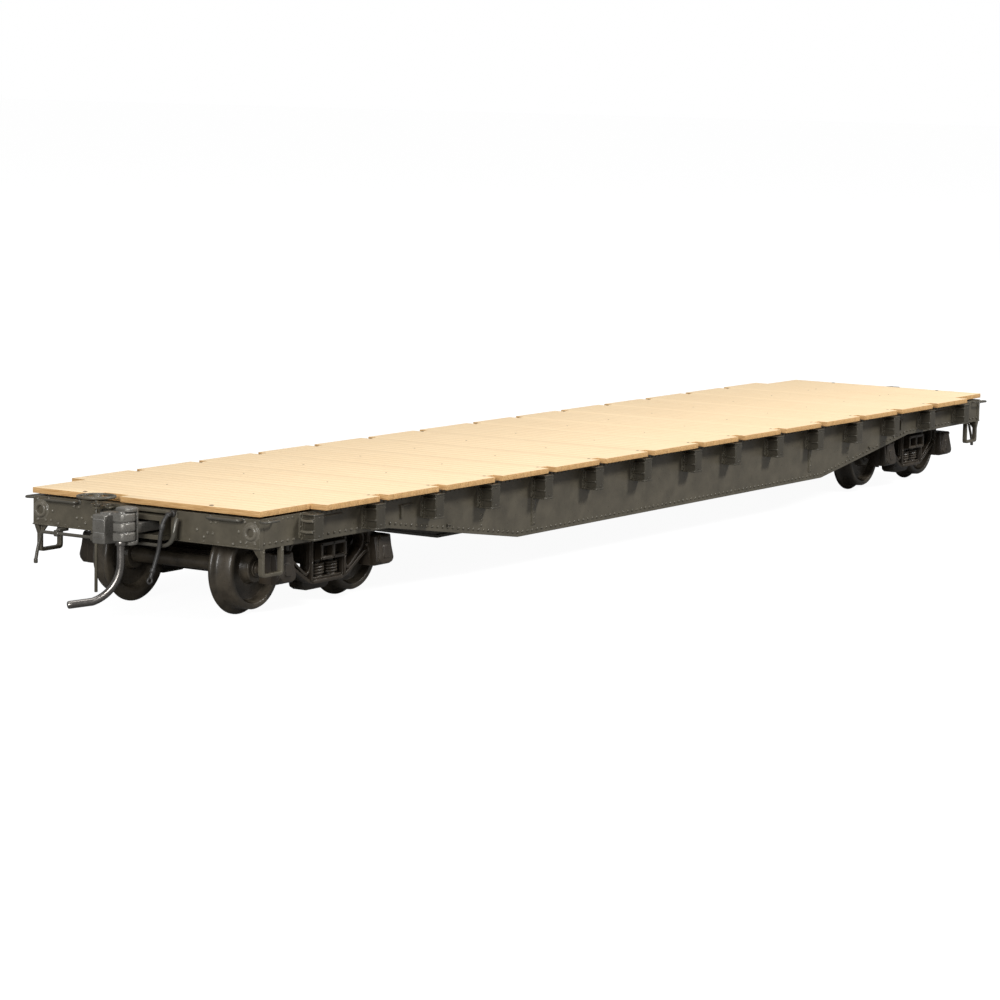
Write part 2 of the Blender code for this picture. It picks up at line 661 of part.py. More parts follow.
def make_cut_levers():
    """The uncoupling lever: a hanging handle, a rod across the end and a bent-up tail."""
    x, rod_z, bend = LEVER_X, LEVER_Z, LEVER_TAIL_BEND
    tail = [(x, y, z) for y, z in arc((LEVER_TAIL_Y - bend, rod_z + bend), bend, -90, 0, 4)]
    points = [(x + 0.5 * MM, -14.3 * MM, LEVER_HANDLE_BOTTOM), (x, -13.9 * MM, rod_z),
              (x, -9.8 * MM, rod_z), *tail, (x - 0.6 * MM, LEVER_TAIL_Y, LEVER_TAIL_TOP)]
    at_both_ends(wire("lever_shape", points, LEVER_RADIUS), "cut_lever", "frame_olive")


def make_air_hoses():
    """The air hose: out of the end sill beside the coupler and down to its hose end."""
    path = [(93.6, 4.4, 12.05), (94.6, 4.3, 11.95), (95.2, 4.1, 11.1), (95.46, 3.95, 9.8),
            (95.5, 3.75, 8.2), (95.85, 3.45, 6.4), (96.3, 3.2, 4.8)]
    at_both_ends(wire("hose_shape", [mm(*point) for point in path], HOSE_RADIUS), "air_hose", "hose_black")


def make_hand_brake():
    """The bracket on the frame, and the wheel and staff that turn in it."""
    face_x = -FRAME_HALF_LENGTH - LAP / 2
    half = BRAKE_BRACKET_WIDTH / 2
    low_y, high_y = BRAKE_Y - half, BRAKE_Y + half
    shelf_x = BRAKE_X - half
    back_low, back_high = BRAKE_BRACKET_Z
    back = box("back", (face_x - BRAKE_PLATE, low_y, back_low), (face_x, high_y, back_high))
    shelves = [((shelf_x, low_y + LAP / 2, z), (face_x - LAP, high_y - LAP / 2, z + BRAKE_PLATE))
               for z in BRAKE_SHELF_Z]
    combine(back, [boxes("shelves", shelves)])
    cut(back, [upright("guide", STAFF_RADIUS + PIN_GAP, (BRAKE_X, BRAKE_Y), back_low - CUT_MARGIN,
                       back_high + CUT_MARGIN, SMALL_STEPS)])
    place(back, "brake_bracket", "frame_olive")

    staff = upright("staff_shape", STAFF_RADIUS, (0, 0), *STAFF_Z, SMALL_STEPS)
    place(staff, "brake_staff", "frame_olive", (BRAKE_X, BRAKE_Y, 0))

    rim_path = arc((BRAKE_WHEEL_RADIUS, BRAKE_WHEEL_Z), BRAKE_RIM_RADIUS, 0, 360, BRAKE_RIM_SIDES)[:-1]
    wheel = turned("rim_shape", rim_path[::-1], BRAKE_RIM_STEPS, closed=True)
    spokes = []
    for i in range(BRAKE_SPOKES):
        spoke = box("spoke", (STAFF_RADIUS, -SPOKE_WIDTH / 2, BRAKE_WHEEL_Z - SPOKE_HEIGHT / 2),
                    (BRAKE_WHEEL_RADIUS - LAP / 3, SPOKE_WIDTH / 2, BRAKE_WHEEL_Z + SPOKE_HEIGHT / 2))
        spokes.append(moved(spoke, Matrix.Rotation(2 * math.pi * i / BRAKE_SPOKES, 4, "Z")))
    hub = upright("hub", BRAKE_HUB_RADIUS, (0, 0), *BRAKE_HUB_Z, SMALL_STEPS)
    combine(hub, [*spokes, wheel])
    place(hub, "brake_wheel", "frame_olive", (BRAKE_X, BRAKE_Y, 0))


# ---- couplers
def make_coupler_boxes():
    """The box that holds each coupler, its lid and the screw through both."""
    back_x, front_x = COUPLER_BOX_X
    half, wall = COUPLER_BOX_HALF_WIDTH, COUPLER_BOX_WALL
    lid_low, lid_high = COUPLER_LID_Z
    box_low, box_high = COUPLER_BOX_Z
    pivot = (COUPLER_PIVOT_X, 0)
    shell = box("box_shape", (back_x, -half, box_low), (front_x, half, box_high))
    cavity = box("cavity", (back_x + wall, -half + wall, box_low - CUT_MARGIN),
                 (front_x + CUT_MARGIN, half - wall, COUPLER_CAVITY_TOP))
    cut(shell, [cavity])
    combine(shell, [upright("post", COUPLER_POST_RADIUS, pivot, box_low, COUPLER_CAVITY_TOP + wall / 2)])
    hole_span = (lid_low - CUT_MARGIN, box_high + CUT_MARGIN)
    cut(shell, [upright("hole", COUPLER_SCREW_HOLE, pivot, *hole_span)])
    at_both_ends(shell, "coupler_box", "frame_olive")

    lid = box("lid_shape", (back_x, -half, lid_low), (front_x, half, lid_high))
    cut(lid, [upright("hole", COUPLER_SCREW_HOLE, pivot, *hole_span)])
    at_both_ends(lid, "coupler_lid", "frame_olive")

    head_low, head_high = COUPLER_SCREW_HEAD_Z
    shaft = upright("screw_shape", COUPLER_SCREW_HOLE - PIN_GAP, pivot, head_high - 3 * LAP,
                    END_PLATE_Z[1] - LAP / 2)
    combine(shaft, [upright("head", COUPLER_SCREW_HEAD_RADIUS, pivot, head_low, head_high)])
    cut(shaft, [screw_slot(COUPLER_PIVOT_X, COUPLER_SCREW_HEAD_RADIUS, head_low)])
    at_both_ends(shaft, "coupler_screw", "steel")


def screw_slot(x, head_radius, head_low):
    """A cutter for the driver slot across the underside of a screw head."""
    half = head_radius + CUT_MARGIN
    return box("slot", (x - half, -SLOT_WIDTH / 2, head_low - CUT_MARGIN),
               (x + half, SLOT_WIDTH / 2, head_low + SLOT_WIDTH / 2))


def about_pivot(shape, x, y=0.0):
    """Draw the mesh about a pivot instead of about the car's origin."""
    return moved(shape, shift=(-x, -y, 0))


def coupler_shank():
    """The ring round the box's post, the bar, and the head with its guard arm and jaw."""
    low, high = (z / MM for z in HEAD_Z)
    shank = upright("ring", SHANK_RING_RADIUS, (COUPLER_PIVOT_X, 0), *SHANK_RING_Z)
    bar = box("bar", mm(89.3, -1.3, 9.8), mm(97.2, 1.3, 10.9))
    neck = box("neck", mm(96.6, -1.9, low), mm(98.2, 0.15, GUARD_TOP / MM + 0.05))
    guard = box("guard", mm(97.9, -2.3, low + 0.05), mm(100.0, -0.35, GUARD_TOP / MM))
    jaw = box("jaw", mm(96.65, -0.05, low + 0.02), mm(98.9, 2.25, high - 0.02))
    return combine(shank, [bar, neck, guard, jaw])


def make_couplers():
    """Shank and head, the knuckle that opens, and the trip pin below the knuckle."""
    hinge = (KNUCKLE_PIVOT.x, KNUCKLE_PIVOT.y)
    low, high = KNUCKLE_Z
    gap_low, gap_high = low - PIN_GAP, high + PIN_GAP
    head_low, head_high = HEAD_Z
    shank = coupler_shank()
    recess = upright("recess", KNUCKLE_RADIUS + 1.5 * PIN_GAP, hinge, gap_low, gap_high)
    far_x, far_y = 101 * MM, 4 * MM
    mouth = box("mouth", (KNUCKLE_PIVOT.x, 0.27 * MM, gap_low), (far_x, far_y, gap_high))
    side_gap = box("side_gap", (97.35 * MM, KNUCKLE_PIVOT.y, gap_low), (far_x, far_y, gap_high))
    ears = upright("ears", KNUCKLE_PIN_RADIUS + PIN_GAP, hinge, head_low - CUT_MARGIN,
                   head_high + CUT_MARGIN, SMALL_STEPS)
    post_hole = upright("post_hole", COUPLER_POST_RADIUS + LAP, (COUPLER_PIVOT_X, 0), head_low, head_high)
    cut(shank, [recess, mouth, side_gap, ears, post_hole])
    about_pivot(shank, COUPLER_PIVOT_X)
    at_both_ends(shank, "coupler_shank", "coupler_metal", COUPLER_PIVOT_X)

    hub = upright("knuckle_shape", KNUCKLE_RADIUS, hinge, low, high)
    nose = box("nose", (KNUCKLE_PIVOT.x + LAP, 0.43 * MM, low + LAP / 3),
               (99.9 * MM, 2.35 * MM, high - LAP / 3))
    pin = upright("pin", KNUCKLE_PIN_RADIUS, hinge, head_low + LAP / 2, head_high - LAP / 2, SMALL_STEPS)
    combine(hub, [nose, pin])
    about_pivot(hub, *hinge)
    trip = wire("trip_shape", trip_pin_path(), TRIP_PIN_RADIUS)
    about_pivot(trip, *hinge)
    for end_name, end, spin in (("a", -1, HALF_TURN), ("b", 1, 0.0)):
        centre = (end * KNUCKLE_PIVOT.x, end * KNUCKLE_PIVOT.y, 0)
        place(hub, f"knuckle_{end_name}", "coupler_metal", centre, spin)
        place(trip, f"trip_pin_{end_name}", "pin_steel", centre, spin)


def trip_pin_path():
    """Down from the knuckle, then an arc that sweeps forward and across to the tip."""
    start = Vector((KNUCKLE_PIVOT.x + 1.1 * MM, KNUCKLE_PIVOT.y + LAP, 0))
    sweep = Vector(TRIP_SWEEP).normalized()
    points = [start + Vector((0, 0, KNUCKLE_Z[0] - LAP / 2))]
    for i in range(TRIP_STEPS + 1):
        angle = math.radians(TRIP_BEND_DEGREES) * i / TRIP_STEPS
        forward = TRIP_BEND_RADIUS * (1 - math.cos(angle))
        height = TRIP_BEND_TOP - TRIP_BEND_RADIUS * math.sin(angle)
        points.append(start + sweep * forward + Vector((0, 0, height)))
    points.append(points[-1] + sweep * TRIP_TIP_LENGTH - Vector((0, 0, TRIP_TIP_DROP)))
    return points


# ---- trucks
def wheel_profile():
    """The wheel's section as (radius, height), height 0 at its back and up to its face."""
    bore = WHEEL_BORE / MM
    points = [(bore, 2.9), (1.55, 2.9), (1.75, 1.75), (3.75, 1.55), (3.95, 2.7), (4.5, 2.75),
              (4.7, 2.5), (4.86, 0.85), (5.475, 0.4), (5.2, 0.0), (4.0, 0.05), (3.7, 0.85),
              (1.8, 0.8), (1.6, 0.0), (bore, 0.0)]
    return [(r * MM, h * MM) for r, h in points]


def make_wheelsets():
    """Each axle with pointed ends, and its two wheels."""
    half = [(0.0, AXLE_HALF_LENGTH), (JOURNAL_RADIUS, AXLE_CONE_Y), (JOURNAL_RADIUS, AXLE_NECK_Y),
            (AXLE_RADIUS, AXLE_NECK_Y - LAP / 2)]
    axle = turned("axle_shape", half + [(r, -z) for r, z in reversed(half)])
    moved(axle, Matrix.Rotation(math.pi / 2, 4, "X"))
    wheel = turned("wheel_shape", wheel_profile(), closed=True)
    moved(wheel, Matrix.Rotation(-math.pi / 2, 4, "X"), (0, WHEEL_BACK_Y, 0))
    for truck, truck_x in TRUCKS:
        for number, offset in ((1, -HALF_WHEELBASE), (2, HALF_WHEELBASE)):
            centre = (truck_x + offset, 0, AXLE_Z)
            stem = f"{truck}{number}"
            place(axle, f"axle_{stem}", "wheel_dark", centre)
            place(wheel, f"wheel_{stem}_left", "wheel_dark", centre)
            place(wheel, f"wheel_{stem}_right", "wheel_dark", centre, HALF_TURN)


def mirrored(outline):
    """The outline mirrored about x = 0, kept in the same turning sense."""
    return [(-x, z) for x, z in reversed(outline)]


def on_each_side(shape, stem):
    """One copy of a truck piece on each side of each truck, drawn for the +Y side."""
    for truck, truck_x in TRUCKS:
        place(shape, f"{stem}_{truck}_left", "truck_black", (truck_x, 0, 0))
        place(shape, f"{stem}_{truck}_right", "truck_black", (truck_x, 0, 0), HALF_TURN)


def side_frame_outlines():
    """Outside of a cast side frame and its three openings, as (x, z) about the truck's middle."""
    top = SIDE_FRAME_TOP / MM
    seat = SPRING_SEAT_Z / MM
    right = [mm(*point) for point in ((2.7, 3.15), (3.7, 3.4), (7.3, 5.55), (8.4, 5.85), (8.5, 7.5),
                                      (7.7, top))]
    outside = right + mirrored(right)
    window = [mm(*point) for point in ((-3.0, seat), (3.0, seat), (3.0, 8.05), (-3.0, 8.05))]
    triangle = [mm(*point) for point in ((3.5, 4.85), (4.1, 4.5), (6.75, 6.5), (7.1, 7.4),
                                         (6.75, 8.05), (3.45, 8.05))]
    return [outside, window, triangle, mirrored(triangle)]


def journal_box(offset):
    """A journal box with its lid sloping outwards towards the bottom."""
    inner, low, high = 11.7, 4.05, 7.7
    outline = [(inner, low), (14.1, low), (14.65, low + 0.55), (14.2, high), (inner, high)]
    return plate("journal_box", [[mm(*point) for point in outline]], JOURNAL_BOX_WIDTH, "YZ", offset)


def make_side_frames():
    """The cast side frames with their journal boxes and axle bores."""
    inner_y, outer_y = SIDE_FRAME_Y
    shape = plate("side_frame_shape", side_frame_outlines(), outer_y - inner_y, "XZ",
                  (inner_y + outer_y) / 2)
    offsets = (-HALF_WHEELBASE, HALF_WHEELBASE)
    combine(shape, [journal_box(offset) for offset in offsets])
    bores = [((offset, inner_y - CUT_MARGIN, AXLE_Z), (offset, AXLE_HALF_LENGTH + 1.5 * LAP, AXLE_Z))
             for offset in offsets]
    cut(shape, [cylinders("bores", BEARING_RADIUS, bores)])
    on_each_side(shape, "side_frame")


def make_truck_bolsters():
    """The truck bolsters with their centre bowls, and the kingpin screws through them."""
    low, high = BOLSTER_Z
    half_x, half_y = BOLSTER_HALF_WIDTH, BOLSTER_HALF_LENGTH
    beam = box("bolster_shape", (-half_x, -half_y, low), (half_x, half_y, high))
    middle_y = BOLSTER_MIDDLE_HALF_LENGTH
    middle = box("middle", (-half_x + LAP, -middle_y, BOLSTER_MIDDLE_Z[0]),
                 (half_x - LAP, middle_y, BOLSTER_MIDDLE_Z[1]))
    bowl = upright("bowl", CENTRE_PLATE_RADIUS + 2 * LAP, (0, 0), low + CUT_MARGIN, BOWL_TOP)
    combine(beam, [middle, bowl])
    windows = [span_box(x, BOLSTER_WINDOW_WIDTH / 2, half_y - CUT_MARGIN, half_y + CUT_MARGIN,
                        low + BOLSTER_RIM, high - BOLSTER_RIM, side)
               for side in SIDES for x in (-BOLSTER_WINDOW_X, BOLSTER_WINDOW_X)]
    hole = upright("hole", KINGPIN_RADIUS + PIN_GAP, (0, 0), low - CUT_MARGIN, BOWL_TOP + CUT_MARGIN)
    cut(beam, [boxes("windows", windows), hole])

    head_low, head_high = KINGPIN_HEAD_Z
    screw = upright("kingpin_shape", KINGPIN_RADIUS, (0, 0), head_low + 2 * LAP, CENTRE_SILL_TOP - LAP / 2)
    combine(screw, [upright("head", KINGPIN_HEAD_RADIUS, (0, 0), head_low, head_high)])
    cut(screw, [screw_slot(0, KINGPIN_HEAD_RADIUS, head_low)])
    for truck, truck_x in TRUCKS:
        place(beam, f"truck_bolster_{truck}", "truck_black", (truck_x, 0, 0))
        place(screw, f"kingpin_screw_{truck}", "steel", (truck_x, 0, 0))


def spring_profile(low, high):
    """A ribbed column that keeps the coil spring's shape, from the axis round to the axis."""
    rise = (high - low) / SPRING_TURNS
    points = [(0.0, high)]
    for turn in range(SPRING_TURNS):
        top = high - turn * rise
        points += [(SPRING_INNER_RADIUS, top), (SPRING_OUTER_RADIUS, top - rise / 2)]
    return points + [(SPRING_INNER_RADIUS, low), (0.0, low)]


def make_spring_nests():
    """The two coil springs under each bolster end, between their seat plates."""
    low, high = SPRING_SEAT_Z + LAP / 2, BOLSTER_Z[0] - LAP / 2
    near_y, far_y = SPRING_Y - SPRING_SEAT_HALF_WIDTH, SPRING_Y + SPRING_SEAT_HALF_WIDTH
    half_x = SPRING_SEAT_HALF_LENGTH
    base = box("nest_shape", (-half_x, near_y, low), (half_x, far_y, low + SPRING_PLATE))
    lid = box("lid", (-half_x + 2 * LAP, near_y, high - SPRING_PLATE), (half_x - 2 * LAP, far_y, high))
    columns = []
    for x in (-SPRING_X, SPRING_X):
        column = turned("column", spring_profile(low + LAP, high - LAP), SPRING_STEPS)
        columns.append(moved(column, shift=(x, SPRING_Y, 0)))
    combine(base, [lid, *columns])
    on_each_side(base, "spring_nest")


def make_spring_planks():
    """The plank across each truck under its springs, stepping down beside the side frames."""
    inner_y, outer_y = PLANK_Y
    low, high = PLANK_Z
    half_x = PLANK_HALF_WIDTH
    plank = box("plank_shape", (-half_x, -outer_y, low), (half_x, outer_y, high))
    feet = [span_box(0, half_x + LAP, inner_y, outer_y - LAP, PLANK_FOOT_BOTTOM, low + LAP, side)
            for side in SIDES]
    combine(plank, [boxes("feet", feet)])
    for truck, truck_x in TRUCKS:
        place(plank, f"spring_plank_{truck}", "truck_black", (truck_x, 0, 0))


def main():
    for old in list(bpy.data.objects):
        bpy.data.objects.remove(old)
    bpy.context.scene.collection.children.link(parts)
    bpy.context.scene.collection.children.link(guides)
    make_deck()
    make_body_frame()
    make_weight()
    make_underframe()
    make_brake_gear()
    make_steps()
    make_end_grabs()
    make_cut_levers()
    make_air_hoses()
    make_hand_brake()
    make_coupler_boxes()
    make_couplers()
    make_wheelsets()
    make_side_frames()
    make_truck_bolsters()
    make_spring_nests()
    make_spring_planks()


main()
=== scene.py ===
"""Looks of the model flat car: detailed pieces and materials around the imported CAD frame."""
import json
import math
import random

import bmesh
import bpy
from mathutils import Matrix, Vector


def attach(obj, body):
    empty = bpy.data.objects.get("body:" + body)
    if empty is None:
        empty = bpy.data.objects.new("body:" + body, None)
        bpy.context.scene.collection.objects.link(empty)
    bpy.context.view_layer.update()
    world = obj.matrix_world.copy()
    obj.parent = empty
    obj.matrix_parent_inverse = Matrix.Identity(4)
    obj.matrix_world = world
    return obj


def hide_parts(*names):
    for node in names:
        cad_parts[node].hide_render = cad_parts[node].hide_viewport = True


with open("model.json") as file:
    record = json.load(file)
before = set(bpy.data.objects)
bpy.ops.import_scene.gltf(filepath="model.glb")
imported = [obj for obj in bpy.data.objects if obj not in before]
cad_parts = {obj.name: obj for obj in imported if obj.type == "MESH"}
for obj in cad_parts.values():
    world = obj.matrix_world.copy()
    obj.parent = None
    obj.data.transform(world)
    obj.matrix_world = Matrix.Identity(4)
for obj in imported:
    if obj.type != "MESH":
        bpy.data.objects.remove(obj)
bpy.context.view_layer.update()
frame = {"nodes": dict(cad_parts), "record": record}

MM = 0.001
HALF_TURN = Matrix.Rotation(math.pi, 4, "Z")
STILL = Matrix.Identity(4)
ENDS = (("a", HALF_TURN), ("b", STILL))
SIDES = (("left", 1), ("right", -1))
SMOOTH_ANGLE = math.radians(38)
dice = random.Random(53)

# places that the CAD gives, in millimetres
TRUCK_X = 76.2
HALF_WHEELBASE = 9.65
AXLE_Z = 5.475
POCKET_PITCH = 12.136
POCKETS = [number * POCKET_PITCH for number in range(-7, 8)]
POCKETS[7] += 1.1  # the middle stake pocket stands a little off the car's middle


def mm(*values):
    return Vector(values) * MM


def shift(*values):
    """A move by millimetres along X, Y and Z."""
    return Matrix.Translation(mm(*values))


def towards(direction):
    """The turn that brings Z onto a direction."""
    return Vector((0, 0, 1)).rotation_difference(Vector(direction)).to_matrix().to_4x4()


def turns(count):
    """Evenly spaced angles round a full circle."""
    return [2 * math.pi * i / count for i in range(count)]


def add_object(name, data):
    made = bpy.data.objects.new(name, data)
    bpy.context.scene.collection.objects.link(made)
    return made


# ---- materials
MIX_FIRST, MIX_SECOND, MIX_RESULT = 6, 7, 2  # the colour sockets of a Mix node
EDGE_REACH = 0.09
# how dark the painted shade over the stake pockets is, as a share of the paint's colour
PAINTED_SHADE_FACTOR = 0.25


def shade(colour, factor):
    return tuple(min(1.0, c * factor) for c in colour)


class Nodes:
    """A material's node tree, built one node at a time. Textures are placed in millimetres."""

    def __init__(self, name):
        self.material = bpy.data.materials.new(name)
        self.material.use_nodes = True
        self.tree = self.material.node_tree
        self.shader = self.tree.nodes["Principled BSDF"]
        metres = self.add("TexCoord").outputs["Object"]
        self.place = self.add("VectorMath", {0: metres, "Scale": 1 / MM}, operation="SCALE").outputs[0]

    def feed(self, slot, value):
        """Set an input to a value, or link it to another node's output."""
        if isinstance(value, bpy.types.NodeSocket):
            self.tree.links.new(value, slot)
        else:
            slot.default_value = value

    def add(self, kind, inputs=None, **settings):
        node = self.tree.nodes.new("ShaderNode" + kind)
        for key, value in settings.items():
            setattr(node, key, value)
        for key, value in (inputs or {}).items():
            self.feed(node.inputs[key], value)
        return node

    def noise(self, scale, detail, roughness, place=None, stretch=None):
        place = self.place if place is None else place
        if stretch:
            place = self.add("Mapping", {"Vector": place, "Scale": stretch}).outputs[0]
        node = self.add("TexNoise", {"Vector": place, "Scale": scale, "Detail": detail,
                                     "Roughness": roughness})
        return node.outputs["Fac"]

    def math(self, operation, first, second=0.0):
        return self.add("Math", {0: first, 1: second}, operation=operation).outputs[0]

    def ramp(self, value, low, high, out_low=0.0, out_high=1.0):
        return self.add("MapRange", {"Value": value, "From Min": low, "From Max": high,
                                     "To Min": out_low, "To Max": out_high}).outputs[0]

    def mix(self, share, first, second):
        first, second = ((*value, 1.0) if isinstance(value, tuple) else value for value in (first, second))
        node = self.add("Mix", data_type="RGBA")
        for key, value in ((0, share), (MIX_FIRST, first), (MIX_SECOND, second)):
            self.feed(node.inputs[key], value)
        return node.outputs[MIX_RESULT]

    def edges(self):
        """How much of an edge a point is on, from 0 on flat faces to 1, and a rounded normal."""
        rounded = self.add("Bevel", {"Radius": EDGE_REACH * MM}, samples=4).outputs[0]
        flat = self.add("NewGeometry").outputs["Normal"]
        dot = self.add("VectorMath", {0: rounded, 1: flat}, operation="DOT_PRODUCT")
        return self.ramp(dot.outputs["Value"], 0.99, 0.80), rounded

    def bump(self, height, distance, normal=None):
        node = self.add("Bump", {"Height": height, "Distance": distance * MM, "Strength": 1.0})
        if normal is not None:
            self.feed(node.inputs["Normal"], normal)
        return node.outputs[0]

    def finish(self, colour, roughness, normal, metallic, specular=0.5):
        for key, value in (("Base Color", colour), ("Roughness", roughness), ("Normal", normal),
                           ("Metallic", metallic), ("Specular IOR Level", specular)):
            self.feed(self.shader.inputs[key], value)
        return self.material


def moulded(name, colour, edge_wear_and_highlight, roughness, metallic=0.0, mottle=0.10, grain=0.012, edge=0.35, painted_shade=None):
    """Moulded or cast surface: mottled colour, fine grain, and lighter edges that are partly worn paint and
    partly painted highlight.

    mottle is how far the colour strays, grain the depth of the bump, and edge how strongly the edges
    lighten, as worn paint and as painted highlight.
    The last argument gives the distances across the car where a painted shade over the stake pockets starts
    and is full, and its share there.
    """
    nodes = Nodes(name)
    cloudy = nodes.noise(0.45, 5.0, 0.62)
    fine = nodes.noise(9.0, 3.0, 0.6)
    speckle = nodes.noise(3.2, 6.0, 0.7)
    stray = 2.2 * mottle
    base = nodes.mix(nodes.ramp(cloudy, 0.32, 0.68), shade(colour, 1.0 - stray), shade(colour, 1.0 + stray))
    on_edge, rounded = nodes.edges()
    # lighter edges: partly worn paint, partly a painted highlight where edges catch the light
    wear_and_highlight_share = nodes.math("MULTIPLY", on_edge, nodes.ramp(speckle, 0.36, 0.60, 0.25, 1.0))
    # painted shade: beyond a distance across the car, over the stake pockets, the paint darkens where
    # shadow falls
    if painted_shade:
        start, full, share = painted_shade
        across = nodes.add("SeparateXYZ", {0: nodes.place}).outputs["Y"]
        outside = nodes.ramp(nodes.math("ABSOLUTE", across), start, full, 0.0, share)
        base = nodes.mix(outside, base, shade(colour, PAINTED_SHADE_FACTOR))
    base = nodes.mix(nodes.math("MULTIPLY", wear_and_highlight_share, edge), base, edge_wear_and_highlight)
    rough = nodes.ramp(speckle, 0.3, 0.7, roughness - 0.09, roughness + 0.11)
    return nodes.finish(base, rough, nodes.bump(fine, grain, rounded), metallic)


def deck_material():
    """Light tan planks: each plank its own tone, with grain along it, and a painted shade on every face
    that does not face up.
    """
    nodes = Nodes("deck_planks")
    along = nodes.add("SeparateXYZ", {0: nodes.place}).outputs["X"]
    pitches = nodes.math("DIVIDE", nodes.math("ADD", along, DECK_HALF), PLANK_PITCH)
    number = nodes.math("FLOOR", pitches)
    tone = nodes.add("TexWhiteNoise", noise_dimensions="1D")
    nodes.feed(tone.inputs["W"], number)
    tone = tone.outputs["Value"]
    own_place = nodes.add("CombineXYZ", {"Z": nodes.math("MULTIPLY", tone, 60.0)}).outputs[0]
    moved = nodes.add("VectorMath", {0: nodes.place, 1: own_place}, operation="ADD").outputs[0]
    grain = nodes.noise(2.6, 7.0, 0.68, moved, (2.4, 0.16, 2.4))
    streak = nodes.noise(0.9, 3.0, 0.55, moved, (1.6, 0.05, 1.6))
    cloudy = nodes.noise(0.06, 3.0, 0.5)
    base = nodes.mix(nodes.ramp(grain, 0.34, 0.66), DECK_DARK, DECK_LIGHT)
    base = nodes.mix(nodes.ramp(tone, 0.0, 1.0, 0.0, 0.30), base, DECK_TONE)
    base = nodes.mix(nodes.ramp(streak, 0.58, 0.78, 0.0, 0.35), base, DECK_STREAK)
    base = nodes.mix(nodes.ramp(cloudy, 0.35, 0.70, 0.0, 0.14), base, DECK_STREAK)
    # painted shade: faces that turn away from straight up take the darker side colours
    facing = nodes.add("SeparateXYZ", {0: nodes.add("NewGeometry").outputs["True Normal"]})
    shaded_side = nodes.ramp(facing.outputs["Z"], 0.75, 0.35)
    base = nodes.mix(shaded_side, base, nodes.mix(nodes.ramp(grain, 0.35, 0.65), SHADED_SIDE_DEEP, SHADED_SIDE_PALE))
    rough = nodes.ramp(grain, 0.3, 0.7, 0.70, 0.56)
    return nodes.finish(base, rough, nodes.bump(grain, 0.022), 0.0, 0.32)


def steel_material(name, colour, roughness):
    """Bare or dulled steel with fine drawn scratches."""
    nodes = Nodes(name)
    lines = nodes.noise(5.0, 4.0, 0.6, stretch=(0.2, 4.0, 4.0))
    stain = nodes.noise(0.6, 5.0, 0.65)
    base = nodes.mix(nodes.ramp(stain, 0.35, 0.65), shade(colour, 0.62), colour)
    rough = nodes.ramp(lines, 0.3, 0.7, roughness - 0.08, roughness + 0.14)
    return nodes.finish(base, rough, nodes.bump(lines, 0.006), 1.0)


DECK_HALF = 93.6
PLANKS = 107
PLANK_PITCH = 2 * DECK_HALF / PLANKS
DECK_LIGHT = (0.93, 0.735, 0.480)
DECK_DARK = (0.86, 0.645, 0.395)
DECK_TONE = (0.885, 0.685, 0.435)
DECK_STREAK = (0.76, 0.545, 0.315)
# the two grain tones of the planks' sides and ends, darker and more golden than the top: painted shade
SHADED_SIDE_PALE = (0.72, 0.455, 0.205)
SHADED_SIDE_DEEP = (0.46, 0.25, 0.09)
# each moulded paint: its colour, then its lighter edge colour (partly worn paint, partly painted
# highlight), then its roughness
MATERIALS = {
    "deck_tan": deck_material(),
    # the frame paint is darkened over the stake pockets: a painted shade
    "frame_olive": moulded("frame_plastic", (0.092, 0.080, 0.057), (0.40, 0.37, 0.30), 0.34, mottle=0.09,
                           painted_shade=(16.45, 16.7, 0.62)),
    "truck_black": moulded("truck_plastic", (0.032, 0.024, 0.016), (0.30, 0.25, 0.18), 0.36, mottle=0.15,
                           grain=0.02, edge=0.5),
    "hose_black": moulded("hose_rubber", (0.040, 0.038, 0.036), (0.22, 0.21, 0.20), 0.40, grain=0.008),
    "wheel_dark": moulded("wheel_iron", (0.056, 0.046, 0.033), (0.34, 0.29, 0.22), 0.32, mottle=0.20,
                          grain=0.012, edge=0.45),
    "coupler_metal": moulded("coupler_cast", (0.19, 0.18, 0.16), (0.65, 0.65, 0.65), 0.30, 0.45,
                             0.12, 0.02, 0.6),
    "pin_steel": steel_material("pin_steel", (0.30, 0.28, 0.26), 0.26),
    "steel": steel_material("plain_steel", (0.50, 0.50, 0.50), 0.38),
}
# grab irons and uncoupling lever: a glossier copy of the frame paint, a little lighter and with much
# lighter edges, as painted highlight
WIRE_PAINT_HIGHLIGHTED = moulded("frame_wire_highlighted", (0.10, 0.092, 0.075), (0.62, 0.60, 0.55), 0.20, 0.25, mottle=0.05)
# rivets and poling pockets: a glossier copy of the frame paint, lighter in colour as a painted highlight
RIVET_PAINT_HIGHLIGHTED = moulded("frame_rivet_highlighted", (0.135, 0.120, 0.092), (0.66, 0.65, 0.60), 0.22, mottle=0.05)
BOLT_DARK = moulded("deck_bolt", (0.13, 0.085, 0.045), (0.35, 0.26, 0.15), 0.5)


# ---- shapes
SAME_POINT = 0.0006
SHARP_ENOUGH = math.radians(30)  # edges under this angle are not rounded


